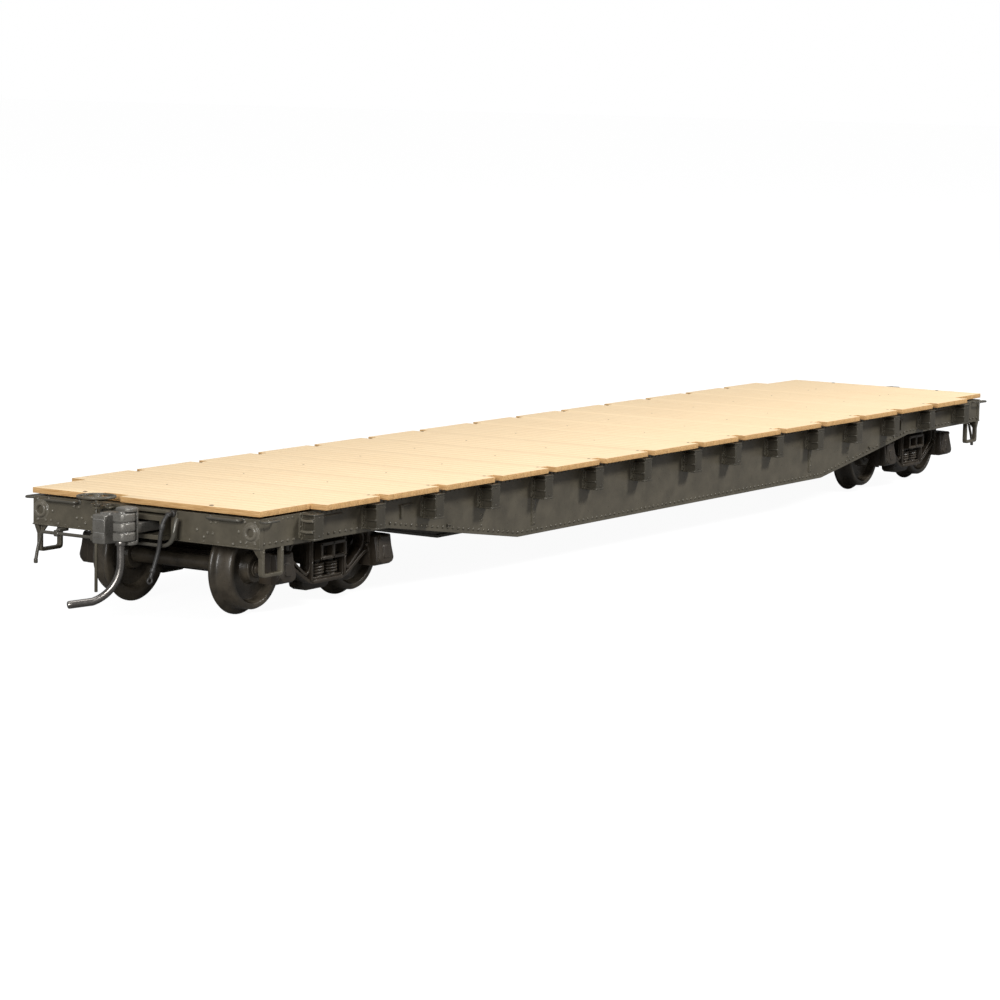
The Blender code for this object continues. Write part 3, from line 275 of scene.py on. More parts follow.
class Shape:
    """Closed shells gathered into one mesh. Lengths are in millimetres."""

    def __init__(self):
        self.work = bmesh.new()

    def _rounded(self, faces, width, segments):
        edges = [e for e in {e for f in faces for e in f.edges}
                 if len(e.link_faces) == 2 and e.calc_face_angle(0.0) > SHARP_ENOUGH]
        if width > 0 and edges:
            bmesh.ops.bevel(self.work, geom=edges, offset=width * MM, segments=segments,
                            profile=0.5, affect="EDGES", clamp_overlap=True)

    def box(self, one, other, bevel=0.05, turn=STILL, segments=2):
        """A box between two opposite corners, turned about its own middle."""
        low = Vector([min(pair) for pair in zip(one, other)])
        high = Vector([max(pair) for pair in zip(one, other)])
        middle = Matrix.Translation((low + high) / 2 * MM)
        place = middle @ turn @ Matrix.Diagonal((*((high - low) * MM), 1.0))
        made = bmesh.ops.create_cube(self.work, size=1.0, matrix=place)
        self._rounded({f for v in made["verts"] for f in v.link_faces}, bevel, segments)

    def cylinder(self, start, end, radius, steps=24, bevel=0.0):
        start, end = Vector(start) * MM, Vector(end) * MM
        made = bmesh.ops.create_cone(self.work, cap_ends=True, segments=steps, radius1=radius * MM,
                                     radius2=radius * MM, depth=(end - start).length,
                                     matrix=Matrix.Translation((start + end) / 2) @ towards(end - start))
        self._rounded({f for v in made["verts"] for f in v.link_faces}, bevel, 2)

    def prism(self, outline, axis, near, far, bevel=0.05, segments=2):
        """An outline pushed along an axis. It holds the other two axes' values in their order."""
        near, far = sorted((near, far))

        def point(pair, depth):
            values = list(pair)
            values.insert("XYZ".index(axis), depth)
            return Vector(values) * MM
        bottom = [self.work.verts.new(point(pair, near)) for pair in outline]
        top = [self.work.verts.new(point(pair, far)) for pair in outline]
        count = len(outline)
        faces = [self.work.faces.new(bottom[::-1]), self.work.faces.new(top)]
        faces += [self.work.faces.new((bottom[i], bottom[(i + 1) % count], top[(i + 1) % count], top[i]))
                  for i in range(count)]
        bmesh.ops.recalc_face_normals(self.work, faces=faces)
        self._rounded(faces, bevel, segments)

    def tube(self, points, radius, sides=12):
        """A round tube through the points. radius may be one value or one for each point."""
        points = [Vector(p) * MM for p in points]
        last = len(points) - 1
        radii = [radius] * len(points) if isinstance(radius, (int, float)) else radius
        rings = []
        normal = None
        for i, point in enumerate(points):
            tangent = (points[min(i + 1, last)] - points[max(i - 1, 0)]).normalized()
            if normal is None:
                helper = Vector((0, 0, 1)) if abs(tangent.z) < 0.9 else Vector((1, 0, 0))
                normal = tangent.cross(helper).normalized()
            else:
                normal = (normal - tangent * normal.dot(tangent)).normalized()
            other = tangent.cross(normal)
            offsets = [normal * math.cos(angle) + other * math.sin(angle) for angle in turns(sides)]
            rings.append([self.work.verts.new(point + offset * radii[i] * MM) for offset in offsets])
        self._skin(rings)

    def _skin(self, rings):
        """The faces between a tube's rings and over its two ends."""
        count = len(rings[0])
        faces = []
        for here, there in zip(rings[:-1], rings[1:]):
            for j in range(count):
                k = (j + 1) % count
                faces.append(self.work.faces.new((here[j], here[k], there[k], there[j])))
        faces.append(self.work.faces.new(rings[0][::-1]))
        faces.append(self.work.faces.new(rings[-1]))
        bmesh.ops.recalc_face_normals(self.work, faces=faces)

    def lathe(self, profile, steps=48, place=STILL, closed=True):
        """A profile of (radius, height) turned about Z, then placed. Open profiles end on the axis."""
        made = {}

        def vertex(j, i):
            radius, height = profile[i]
            step = 0 if abs(radius) < 1e-9 else j % steps
            if (step, i) not in made:
                angle = 2 * math.pi * step / steps
                point = mm(radius * math.cos(angle), radius * math.sin(angle), height)
                made[(step, i)] = self.work.verts.new(place @ point)
            return made[(step, i)]
        count = len(profile)
        faces = []
        for j in range(steps):
            for i in range(count if closed else count - 1):
                k = (i + 1) % count
                corners = dict.fromkeys((vertex(j, i), vertex(j, k), vertex(j + 1, k), vertex(j + 1, i)))
                if len(corners) > 2:
                    faces.append(self.work.faces.new(list(corners)))
        bmesh.ops.recalc_face_normals(self.work, faces=faces)

    def rivet(self, place, normal, radius=0.17, height=0.10, steps=8):
        """A domed rivet head that sits on a face."""
        profile = [(0.0, height), (radius * 0.55, height * 0.82), (radius * 0.92, height * 0.36),
                   (radius, 0.0), (radius, -0.05), (0.0, -0.05)]
        self.lathe(profile, steps, shift(*place) @ towards(normal), closed=False)

    def hexagon(self, place, normal, radius, height):
        place, normal = Vector(place), Vector(normal)
        self.cylinder(place - normal * 0.05, place + normal * height, radius, 6, 0.03)

    def plate(self, outlines, thickness, place=STILL, bevel=0.0):
        """A flat plate with holes, filled from 2D outlines, centred on its own plane."""
        curve = bpy.data.curves.new("outline", "CURVE")
        curve.dimensions = "2D"
        curve.fill_mode = "BOTH"
        curve.extrude = (thickness / 2 - bevel) * MM
        curve.bevel_depth = bevel * MM
        curve.bevel_resolution = 1
        curve.offset = -bevel * MM
        for outline in outlines:
            spline = curve.splines.new("POLY")
            spline.points.add(len(outline) - 1)
            for point, (u, v) in zip(spline.points, outline):
                point.co = (u * MM, v * MM, 0.0, 1.0)
            spline.use_cyclic_u = True
        made = add_object("outline", curve)
        bpy.context.view_layer.update()
        mesh = bpy.data.meshes.new_from_object(made.evaluated_get(bpy.context.evaluated_depsgraph_get()))
        bpy.data.objects.remove(made)
        mesh.transform(place)
        start = len(self.work.verts)
        self.work.from_mesh(mesh)
        self.work.verts.ensure_lookup_table()
        bmesh.ops.remove_doubles(self.work, verts=self.work.verts[start:], dist=SAME_POINT * MM)
        bpy.data.meshes.remove(mesh)

    def piece(self, name, body="car_body", slot="frame_olive", turn=STILL, material=None, replaces=None):
        """Finish the mesh as one piece that rides on a body. It may take the place of a CAD node."""
        bmesh.ops.recalc_face_normals(self.work, faces=self.work.faces[:])
        mesh = bpy.data.meshes.new(name)
        self.work.to_mesh(mesh)
        self.work.free()
        mesh.transform(turn)
        mesh.shade_smooth()
        mesh.set_sharp_from_angle(angle=SMOOTH_ANGLE)
        made = add_object(name, mesh)
        mesh.materials.append(material or MATERIALS[slot])
        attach(made, body)
        if replaces:
            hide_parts(replaces)


def arc(centre, radius, start, stop, count):
    """Points round an arc, from one angle in degrees to another."""
    angles = [math.radians(start + (stop - start) * i / count) for i in range(count + 1)]
    return [(centre[0] + radius * math.cos(a), centre[1] + radius * math.sin(a)) for a in angles]


def fillet(points, radius, count=4, closed=True):
    """The outline with its corners rounded."""
    points = [Vector(p) for p in points]
    made = []
    total = len(points)
    for i, corner in enumerate(points):
        if not closed and i in (0, total - 1):
            made.append(tuple(corner))
            continue
        back = points[i - 1] - corner
        ahead = points[(i + 1) % total] - corner
        reach = min(radius, back.length * 0.45, ahead.length * 0.45)
        first, last = corner + back.normalized() * reach, corner + ahead.normalized() * reach
        for step in range(count + 1):
            t = step / count
            made.append(tuple(first * (1 - t) ** 2 + corner * 2 * t * (1 - t) + last * t * t))
    return made


def mirrored(outline):
    return [(-x, z) for x, z in reversed(outline)]


def inset(outline, distance):
    """The outline moved inwards by a distance. Its points run anticlockwise."""
    points = [Vector(p) for p in outline]
    total = len(points)
    made = []
    for i, corner in enumerate(points):
        one = (corner - points[i - 1]).normalized()
        two = (points[(i + 1) % total] - corner).normalized()
        normals = Vector((-one.y, one.x)) + Vector((-two.y, two.x))
        normals.normalize()
        scale = distance / max(0.35, normals.dot(Vector((-one.y, one.x))))
        made.append(tuple(corner + normals * scale))
    return made


def smooth_path(points, per_span=8):
    """A path through the points that bends smoothly."""
    points = [Vector(p) for p in points]
    padded = [points[0] * 2 - points[1], *points, points[-1] * 2 - points[-2]]
    made = []
    for i in range(1, len(padded) - 2):
        p0, p1, p2, p3 = padded[i - 1:i + 3]
        for step in range(per_span):
            t = step / per_span
            made.append(0.5 * ((2 * p1) + (p2 - p0) * t + (2 * p0 - 5 * p1 + 4 * p2 - p3) * t * t
                               + (3 * p1 - p0 - 3 * p2 + p3) * t ** 3))
    made.append(points[-1])
    return made


# lays a flat outline in the car's upright X-Z plane
XZ = Matrix(((1, 0, 0, 0), (0, 0, -1, 0), (0, 1, 0, 0), (0, 0, 0, 1)))


# ---- deck
DECK_TOP = 13.27
DECK_LOW = 12.62
NOTCH_HALF = 0.84
LAST_NOTCH = POCKETS[-1] - NOTCH_HALF
HALF_BETWEEN, HALF_AT_NOTCH, HALF_AT_END = 18.5, 17.15, 16.35  # half the deck's width
PLANK_GAP = 0.014
BRAKE_CUT = (3.4, 7.0)  # the cut-out for the brake staff, across the car
UP, DOWN = (0, 0, 1), (0, 0, -1)


def deck_half_width(x):
    if abs(x) > LAST_NOTCH:
        return HALF_AT_END
    if any(abs(x - pocket) < NOTCH_HALF for pocket in POCKETS[1:-1]):
        return HALF_AT_NOTCH
    return HALF_BETWEEN


def deck_steps():
    """Places along the car where the deck's width changes."""
    notches = [pocket + side * NOTCH_HALF for pocket in POCKETS[1:-1] for side in (-1, 1)]
    return sorted([-LAST_NOTCH, *notches, LAST_NOTCH])


def edge_points(x_low, x_high, side, give):
    """One plank's end: the points of its outline along one side of the car."""
    cuts = [x_low, *[x for x in deck_steps() if x_low + 0.05 < x < x_high - 0.05], x_high]
    points = []
    for here, there in zip(cuts[:-1], cuts[1:]):
        half = deck_half_width((here + there) / 2) + give
        points += [(here, side * half), (there, side * half)]
    return points


def make_planks():
    planks = Shape()
    for i in range(PLANKS):
        x_low = -DECK_HALF + i * PLANK_PITCH + PLANK_GAP / 2
        x_high = x_low + PLANK_PITCH - PLANK_GAP
        lift = dice.uniform(-0.008, 0.0)
        near = edge_points(x_low, x_high, -1, dice.uniform(-0.025, 0.0))
        far = edge_points(x_low, x_high, 1, dice.uniform(-0.025, 0.0))[::-1]
        outlines = [near + far]
        if i == 0:
            low, high = BRAKE_CUT
            outlines = [near + [(x_high, low), (x_low, low)], [(x_low, high), (x_high, high)] + far]
        for outline in outlines:
            planks.prism(outline, "Z", DECK_LOW + 0.005, DECK_TOP + lift, 0.02)
    planks.piece("deck_planks", slot="deck_tan", replaces="deck")


def make_deck_base():
    """What shows between the planks: solid strips just under them, out to the notched edges."""
    base = Shape()
    low, high = DECK_LOW + 0.03, DECK_TOP - 0.1
    steps = deck_steps()
    for side in (-1, 1):
        for here, there in zip(steps[::2], steps[1::2]):
            base.box((here + 0.1, side * 16.9, low), (there - 0.1, side * 18.38, high), 0.0)
        base.box((-LAST_NOTCH + 0.1, side * 16.1, low), (LAST_NOTCH - 0.1, side * 17.0, high), 0.0)
    base.box((-DECK_HALF + 1.9, -16.2, low + 0.01), (DECK_HALF - 0.1, 16.2, high), 0.0)
    base.box((-DECK_HALF + 1.9, -15.4, 12.42), (DECK_HALF - 1.0, 15.4, DECK_LOW + 0.1), 0.0)
    base.piece("deck_base", slot="deck_tan")


def make_deck_bolts():
    bolts = Shape()
    z = DECK_TOP - 0.005
    for side in (-1, 1):
        for pocket in POCKETS[1:-1]:
            bolts.rivet((pocket - 0.85, side * 16.9, z), UP, 0.23, 0.035, 10)
            bolts.rivet((pocket + 5.9, side * 6.2, z), UP, 0.13, 0.03)
        for end in (-1, 1):
            bolts.rivet((end * 92.9, side * 9.1, z), UP, 0.30, 0.08, 10)
            bolts.rivet((end * 81.5, side * 6.3, z), UP, 0.13, 0.03)
    bolts.piece("deck_bolts", slot="deck_tan", material=BOLT_DARK)


# ---- body frame
SILL_FACE = 16.15
BELLY = [(0.0, 4.8), (40.5, 4.8), (68.5, 8.83), (93.2, 8.95)]


def belly_height(x):
    """The height of the side sill's bottom edge, the same both ways from the middle."""
    x = abs(x)
    for (x0, z0), (x1, z1) in zip(BELLY[:-1], BELLY[1:]):
        if x <= x1:
            return z0 + (z1 - z0) * (x - x0) / (x1 - x0)
    return BELLY[-1][1]


ROW_END, BELLY_RIVETS = 92.6, 168
POCKET_FOOT, POCKET_CLEAR = 9.45, 1.3  # belly rivets stop where a pocket comes down over them
TOP_ROW, TOP_PITCH, TOP_GAP = 12.02, 0.92, 1.45
SPLICE_X = 36.9
# low and high edges of a pocket's ribs
RIB_LEDGES = ((9.32, 9.54), (10.30, 10.50), (11.64, 11.84), (12.12, 12.28))
SMALL_PLATES = ((79.7, 11.5, 1.85, 0.10), (65.0, 11.25, 1.3, 0.08), (65.9, 10.5, 0.24, 0.78),
                (55.8, 7.95, 0.5, 0.12))  # middle x and z, half length and half height


def make_side_rivets(name, side):
    rivets = Shape()
    face = side * SILL_FACE
    out = (0, side, 0)
    for i in range(BELLY_RIVETS):
        x = -ROW_END + 2 * ROW_END * i / (BELLY_RIVETS - 1)
        z = belly_height(x) + 0.58
        if z < POCKET_FOOT or not any(abs(x - pocket) < POCKET_CLEAR for pocket in POCKETS):
            rivets.rivet((x, face, z), out, 0.21, 0.16)
    for here, there in zip(POCKETS[:-1], POCKETS[1:]):
        inner = there - here - 2 * TOP_GAP
        total = round(inner / TOP_PITCH)
        for i in range(total + 1):
            rivets.rivet((here + TOP_GAP + inner * i / total, face, TOP_ROW), out, 0.19, 0.14)
    for end in (-1, 1):
        for i in range(6):
            rivets.rivet((end * (87.3 + 0.9 * i), face, TOP_ROW), out, 0.16, 0.11)
        for i in range(8):
            rivets.rivet((end * SPLICE_X, face + side * 0.08, 6.2 + 0.7 * i), out, 0.17, 0.12)
        for z in (7.1, 7.75, 8.4):
            rivets.rivet((end * 48.7, face, z), out, 0.17, 0.12)
    for pocket in POCKETS:
        for z in (9.95, 10.85, 11.75):
            for offset in (-0.95, 0.95):
                rivets.rivet((pocket + offset, face + side * 0.2, z), out, 0.16, 0.13)
        for z in (9.75, 11.85):
            rivets.rivet((pocket, side * 18.13, z), out, 0.13, 0.07)
    rivets.piece(f"side_rivets_{name}")


def make_pocket_ribs(name, side):
    """Ribs and lips of the stake pockets, and the small plates and splices of the web."""
    ribs = Shape()
    for pocket in POCKETS:
        for facing in (-1, 1):
            for low, high in RIB_LEDGES:
                ribs.box((pocket + facing * 0.66, side * 16.3, low),
                         (pocket + facing * 1.04, side * 18.1, high), 0.06)
            for inner, outer in ((16.32, 16.5), (17.93, 18.11)):
                ribs.box((pocket + facing * 0.67, side * inner, 9.34),
                         (pocket + facing * 0.87, side * outer, 12.26), 0.04)
        for low, high in ((9.3, 9.5), (12.1, 12.29)):
            ribs.box((pocket - 0.86, side * 17.98, low), (pocket + 0.86, side * 18.2, high), 0.05)
    back = side * (SILL_FACE - 0.05)
    for end in (-1, 1):
        for x, z, half_x, half_z in SMALL_PLATES:
            ribs.box((end * x - half_x, back, z - half_z),
                     (end * x + half_x, side * (SILL_FACE + 0.22), z + half_z), 0.04)
        ribs.box((end * SPLICE_X - 0.45, back, 5.95),
                 (end * SPLICE_X + 0.45, side * (SILL_FACE + 0.10), 11.5), 0.03)
    ribs.piece(f"pocket_ribs_{name}")


END_FACE = 93.5
END_RIVETS = ((14.26, 11.92), (14.26, 10.75), (14.4, 9.6), (9.78, 10.24), (9.04, 10.27), (9.51, 11.5),
              (10.21, 11.54), (12.6, 9.32), (13.64, 9.64), (13.4, 10.75), (15.6, 11.97), (15.62, 9.58),
              (7.55, 10.5), (8.54, 9.75))  # y and z
FACING_X = Matrix.Rotation(math.pi / 2, 4, "Y")
CUP = [(0.42, -0.05), (1.18, -0.05), (1.18, 0.05), (0.94, 0.10), (0.86, 0.29), (0.74, 0.39), (0.54, 0.37),
       (0.42, 0.15)]  # a poling pocket's ring: radius and height off the end sill


def make_end(end, turn):
    """Rivets, poling pockets and plates of one end sill."""
    rivets = Shape()
    fittings = Shape()
    for side in (-1, 1):
        for y, z in END_RIVETS:
            rivets.rivet((END_FACE, side * y, z), (1, 0, 0), 0.22, 0.19, 10)
        rivets.lathe(fillet(CUP, 0.06, 3), 28, shift(END_FACE, side * 15.1, 10.78) @ FACING_X)
        for z in (11.55, 10.3):
            rivets.tube([(POCKETS[-1] + 0.98, side * 16.4, z), (POCKETS[-1] + 1.02, side * 17.2, z - 0.06),
                         (POCKETS[-1] + 0.98, side * 18.0, z)], 0.17, 10)
        fittings.box((END_FACE - 0.05, side * 4.0, 9.05), (END_FACE + 0.25, side * 4.9, 12.2), 0.06)
        fittings.box((END_FACE - 0.1, side * 13.0, 9.0), (END_FACE + 0.02, side * 16.28, 12.3), 0.0)
        fittings.box((END_FACE - 0.3, side * 4.3, 8.98), (END_FACE + 0.18, side * 16.3, 9.12), 0.03)
    for y in range(-14, 15, 2):
        if abs(y) > 4.6:
            rivets.rivet((END_FACE, y + 0.5, 9.27), (1, 0, 0), 0.12, 0.08)
    fittings.box((END_FACE - 0.1, -4.6, 11.92), (END_FACE + 0.3, 4.6, 12.3), 0.06)
    # the end rivets and poling pockets take the lighter rivet paint, a painted highlight
    rivets.piece(f"end_rivets_{end}", turn=turn, material=RIVET_PAINT_HIGHLIGHTED)
    fittings.piece(f"end_fittings_{end}", turn=turn)


def turned_side(end, name):
    """The side a piece is on: end a is end b turned by half a turn, so its sides change places."""
    return name if end == "b" else {"left": "right", "right": "left"}[name]


def make_steps(end, turn):
    inner, outer, top, bottom, bar = 89.0, 92.9, 8.98, 5.75, 0.4
    outline = fillet([(inner, top), (inner, bottom), (outer, bottom), (outer, top)], 0.55, 5, False)
    outline += fillet([(outer - bar, top), (outer - bar, bottom + bar), (inner + bar, bottom + bar),
                       (inner + bar, top)], 0.25, 5, False)
    brace = [(outer - 0.1, 7.6), (outer + 0.55, top), (outer - 0.5, top), (outer - 0.35, 8.5)]
    for name, side in SIDES:
        step = Shape()
        y = side * 15.95
        step.prism(outline, "Y", y - 0.325, y + 0.325, 0.06)
        step.prism(brace, "Y", y - 0.3, y + 0.3)
        step.prism([(side * 14.7, top), (side * 15.6, 7.9), (side * 15.75, 7.2), (side * 16.2, 7.2),
                    (side * 16.2, top)], "X", outer - 0.36, outer - 0.02, 0.06)
        for x in (inner + bar / 2, outer - bar / 2):
            step.rivet((x, y + side * 0.32, 8.55), (0, side, 0), 0.13, 0.09)
        place = turned_side(end, name)
        step.piece(f"stirrup_step_{end}_{place}", turn=turn, replaces=f"step_{end}_{place}")


def make_grabs(end, turn):
    """A grab iron on the end sill and a bent one round the corner, on each side."""
    z = 12.1
    for name, side in SIDES:
        grab = Shape()
        y = side * 11.7
        bend = arc((94.0, y - 1.95), 0.35, 270, 360, 5) + arc((94.0, y + 1.95), 0.35, 0, 90, 5)
        grab.tube([(u, v, z) for u, v in [(93.3, y - 2.3), *bend, (93.3, y + 2.3)]], 0.16)
        for foot in (-2.3, 2.3):
            grab.cylinder((93.45, y + foot, z), (93.62, y + foot, z), 0.27, 16, 0.03)
        corner = ((93.3, 16.0), (93.75, 16.9), (93.7, 17.2), (93.4, 17.35), (91.2, 17.2), (90.95, 16.95),
                  (90.85, 16.0))
        grab.tube([(u, side * v, z) for u, v in corner], 0.15, 10)
        place = turned_side(end, name)
        # the grab irons take the lighter wire paint, a painted highlight
        grab.piece(f"grab_iron_{end}_{place}", turn=turn, material=WIRE_PAINT_HIGHLIGHTED,
                   replaces=f"end_grab_{end}_{place}")


def make_cut_lever(end, turn):
    """The bent rod across the end sill, its weight and its two brackets."""
    lever = Shape()
    x, rod_z = 94.9, 8.45
    drop = Vector((x + 0.5, -14.3, 5.1))
    path = smooth_path([drop + Vector((0, 0, 0.1)), (x + 0.3, -14.2, 6.4), (x + 0.08, -14.0, 7.7)], 4)[:-1]
    path += [(x, y, z) for y, z in arc((-13.5, 7.95), 0.5, 180, 90, 6)]
    path += [(x, -9.8, rod_z), (x, -4.0, rod_z), (x, 2.0, rod_z)]
    path += [(x, y, z) for y, z in arc((3.7, rod_z + 1.7), 1.7, -90, 0, 10)]
    path += [(x - 0.25, 5.4, 10.9), (x - 0.6, 5.4, 11.6)]
    thick = 14  # the points over which the rod thickens to its upper end
    start = len(path) - thick
    radii = [0.2 + 0.12 * max(0, i - start) / thick for i in range(len(path))]
    lever.tube(path, radii)
    lever.lathe(fillet([(0.0, 0.28), (0.24, 0.28), (0.24, -0.28), (0.0, -0.28)], 0.1, 3, False), 14,
                shift(*drop), closed=False)
    for y in (-11.6, -6.2):
        lever.box((93.1, y - 0.28, 8.6), (94.7, y + 0.28, 8.97), 0.06)
        lever.box((94.6, y - 0.28, 8.1), (95.2, y + 0.28, 8.85), 0.12)
    # the lever takes the lighter wire paint, a painted highlight
    lever.piece(f"uncoupling_lever_{end}", turn=turn, material=WIRE_PAINT_HIGHLIGHTED, replaces=f"cut_lever_{end}")


HOSE = [(93.6, 4.4, 12.05), (94.6, 4.3, 11.95), (95.2, 4.1, 11.1), (95.46, 3.95, 9.8), (95.5, 3.75, 8.2),
        (95.85, 3.45, 6.4), (96.25, 3.22, 4.95)]


def make_hose(end, turn):
    """The air hose with its two clamps, its pipe end and the ring of its coupling."""
    hose = Shape()
    hose.tube(smooth_path(HOSE, 8), 0.24, 14)
    hose.cylinder((95.25, 4.06, 10.9), (95.36, 4.0, 10.35), 0.33, 18, 0.06)
    hose.cylinder((95.98, 3.37, 5.95), (96.1, 3.3, 5.5), 0.33, 18, 0.06)
    hose.cylinder((93.4, 4.4, 12.05), (94.0, 4.38, 12.05), 0.42, 6, 0.05)
    hose.box((94.2, 4.02, 11.75), (94.8, 4.6, 12.25), 0.12)
    ring = [(0.32 + 0.13 * math.cos(a), 0.13 * math.sin(a)) for a in turns(10)]
    tip = shift(96.35, 3.18, 4.6) @ Matrix.Rotation(math.radians(70), 4, "Y")
    hose.lathe(ring, 20, tip)
    hose.piece(f"brake_hose_{end}", slot="hose_black", turn=turn, replaces=f"air_hose_{end}")


# ---- hand brake
BRAKE = (-95.6, 5.2)
SPOKES = 5
RATCHET_TEETH = 14


def make_brake_wheel():
    x, y = BRAKE
    wheel = Shape()
    rim = [(2.1 + 0.19 * math.cos(a), 13.32 + 0.16 * math.sin(a)) for a in turns(12)]
    wheel.lathe(rim, 56, shift(x, y, 0))
    hub = fillet([(0.0, 13.56), (0.3, 13.56), (0.46, 13.34), (0.46, 13.02), (0.0, 13.02)], 0.08, 3, False)
    wheel.lathe(hub, 28, shift(x, y, 0), closed=False)
    shares = [step / 8 for step in range(9)]
    for angle in turns(SPOKES):
        path = []
        for t in shares:
            radius = 0.3 + (2.06 - 0.3) * t
            bend = angle + 0.3 + 0.16 * math.sin(math.pi * t)
            height = 13.22 + 0.1 * t - 0.08 * math.sin(math.pi * t)
            path.append((x + radius * math.cos(bend), y + radius * math.sin(bend), height))
        wheel.tube(path, [0.15 - 0.03 * t for t in shares], 8)
    wheel.piece("brake_wheel_cast", "hand_brake", replaces="brake_wheel")


def make_brake_staff():
    x, y = BRAKE
    staff = Shape()
    staff.cylinder((x, y, 2.4), (x, y, 13.1), 0.19, 20, 0.04)
    teeth = []
    for angle in turns(RATCHET_TEETH):
        teeth += [(x + 0.55 * math.cos(angle), y + 0.55 * math.sin(angle)),
                  (x + 0.68 * math.cos(angle + 0.28), y + 0.68 * math.sin(angle + 0.28))]
    staff.prism(teeth, "Z", 12.32, 12.5, 0.0)
    staff.cylinder((x, y, 8.8), (x, y, 9.05), 0.32, 18, 0.05)
    staff.piece("brake_staff_rod", "hand_brake", replaces="brake_staff")


def make_brake_bracket():
    """The plate and two arms that hold the staff, with the ratchet's pawl."""
    x, y = BRAKE
    bracket = Shape()
    bracket.box((-93.95, y - 0.85, 9.1), (-93.45, y + 0.85, 12.3), 0.06)
    arm = fillet([(-93.6, y - 0.8), (-93.6, y + 0.8), (x - 0.5, y + 0.45), (x - 0.5, y - 0.45)], 0.3, 4)
    hole = [(x + 0.26 * math.cos(a), y + 0.26 * math.sin(a)) for a in turns(20)]
    for height in (9.3, 12.07):
        bracket.plate([arm, hole], 0.3, shift(0, 0, height))
    for z in (9.7, 10.7, 11.6):
        for offset in (-0.5, 0.5):
            bracket.rivet((-93.95, y + offset, z), (-1, 0, 0), 0.14, 0.1)
    bracket.cylinder((-94.75, y - 1.15, 12.15), (-94.75, y - 1.15, 12.6), 0.16, 12, 0.03)
    bracket.box((-95.2, y - 1.25, 12.3), (-94.6, y - 0.95, 12.48), 0.03,
                Matrix.Rotation(math.radians(20), 4, "Z"))
    bracket.box((-95.0, y - 1.4, 11.95), (-93.5, y - 0.7, 12.15))
    bracket.piece("brake_bracket_cast", replaces="brake_bracket")


# ---- couplers
SHANK = [(89.4, -1.3), (95.6, -1.3), (96.9, -1.7), (97.2, -1.7), (97.2, 1.3), (89.4, 1.3)]
GUARD = [(96.6, -1.9), (97.6, -2.3), (99.7, -2.32), (100.0, -2.1), (100.0, -0.38), (99.7, -0.33),
         (98.35, -0.2), (97.4, 0.15), (96.6, 0.15)]
JAW = [(96.65, -0.05), (98.2, -0.05), (98.75, 0.27), (98.9, 0.27), (98.9, 1.05), (98.85, 1.65),
       (98.5, 2.25), (97.6, 2.25), (96.9, 1.85), (96.65, 1.25)]
WALL = [(96.65, -0.05), (97.18, -0.05), (97.15, 0.95), (97.33, 2.1), (96.95, 2.0), (96.65, 1.35)]
LUG = [(96.9, -1.7), (98.9, -2.0), (98.9, -0.5), (96.9, 0.1)]
KNUCKLE_PIN = (98.3, 1.4)


def make_coupler_head(end, turn):
    """The ring and shank, the guard arm, and two jaws with a wall between them."""
    head = Shape()
    ring = fillet([(1.26, 9.75), (2.1, 9.75), (2.1, 10.95), (1.26, 10.95)], 0.1, 2)
    head.lathe(ring, 40, shift(88.2, 0, 0))
    head.prism(fillet(SHANK, 0.3, 3), "Z", 9.8, 10.9, 0.12)
    head.prism(fillet(GUARD, 0.2), "Z", 8.74, 11.98, 0.12, 3)
    for low, high in ((12.44, 12.84), (8.72, 9.12)):
        head.prism(fillet(JAW, 0.25), "Z", low, high, 0.1, 3)
    head.prism(fillet(WALL, 0.12, 3), "Z", 8.9, 12.7)
    head.box((99.9, -1.95, 9.35), (100.05, -0.55, 10.0))
    head.box((99.9, -2.0, 11.3), (100.05, -0.55, 11.5))
    head.box((97.5, -2.42, 10.2), (99.6, -2.2, 11.2), 0.06)
    head.prism(fillet(LUG, 0.2, 3), "Z", 11.9, 12.14, 0.08)
    head.piece(f"coupler_head_{end}", f"coupler_{end}", "coupler_metal", turn,
               replaces=f"coupler_shank_{end}")


def make_knuckle(end, turn):
    """The hook, ribbed across its face, on its pin."""
    knuckle = Shape()
    px, py = KNUCKLE_PIN
    hook = [(u - px, v - py) for u, v in arc(KNUCKLE_PIN, 0.98, 95, 255, 14)]
    hook += [(0.2, -0.95), (0.9, -0.95), (1.35, -0.89), (1.6, -0.65), (1.62, 0.45), (1.35, 0.87),
             (0.75, 0.97)]

    def scaled(factor):
        return [(px + u * factor, py + v * factor) for u, v in hook]
    for low, high, factor in ((9.22, 10.16, 1.0), (10.3, 11.26, 0.98), (11.4, 12.33, 1.0)):
        knuckle.prism(fillet(scaled(factor), 0.18, 3), "Z", low, high, 0.12, 3)
    knuckle.prism(scaled(0.8), "Z", 9.3, 12.2, 0.0)
    knuckle.cylinder((px, py, 8.72), (px, py, 12.88), 0.36, 20, 0.05)
    knuckle.cylinder((px + 1.0, py + 0.1, 12.25), (px + 1.0, py + 0.1, 12.55), 0.42, 20, 0.1)
    knuckle.piece(f"knuckle_cast_{end}", f"coupler_knuckle_{end}", "coupler_metal", turn,
                  replaces=f"knuckle_{end}")


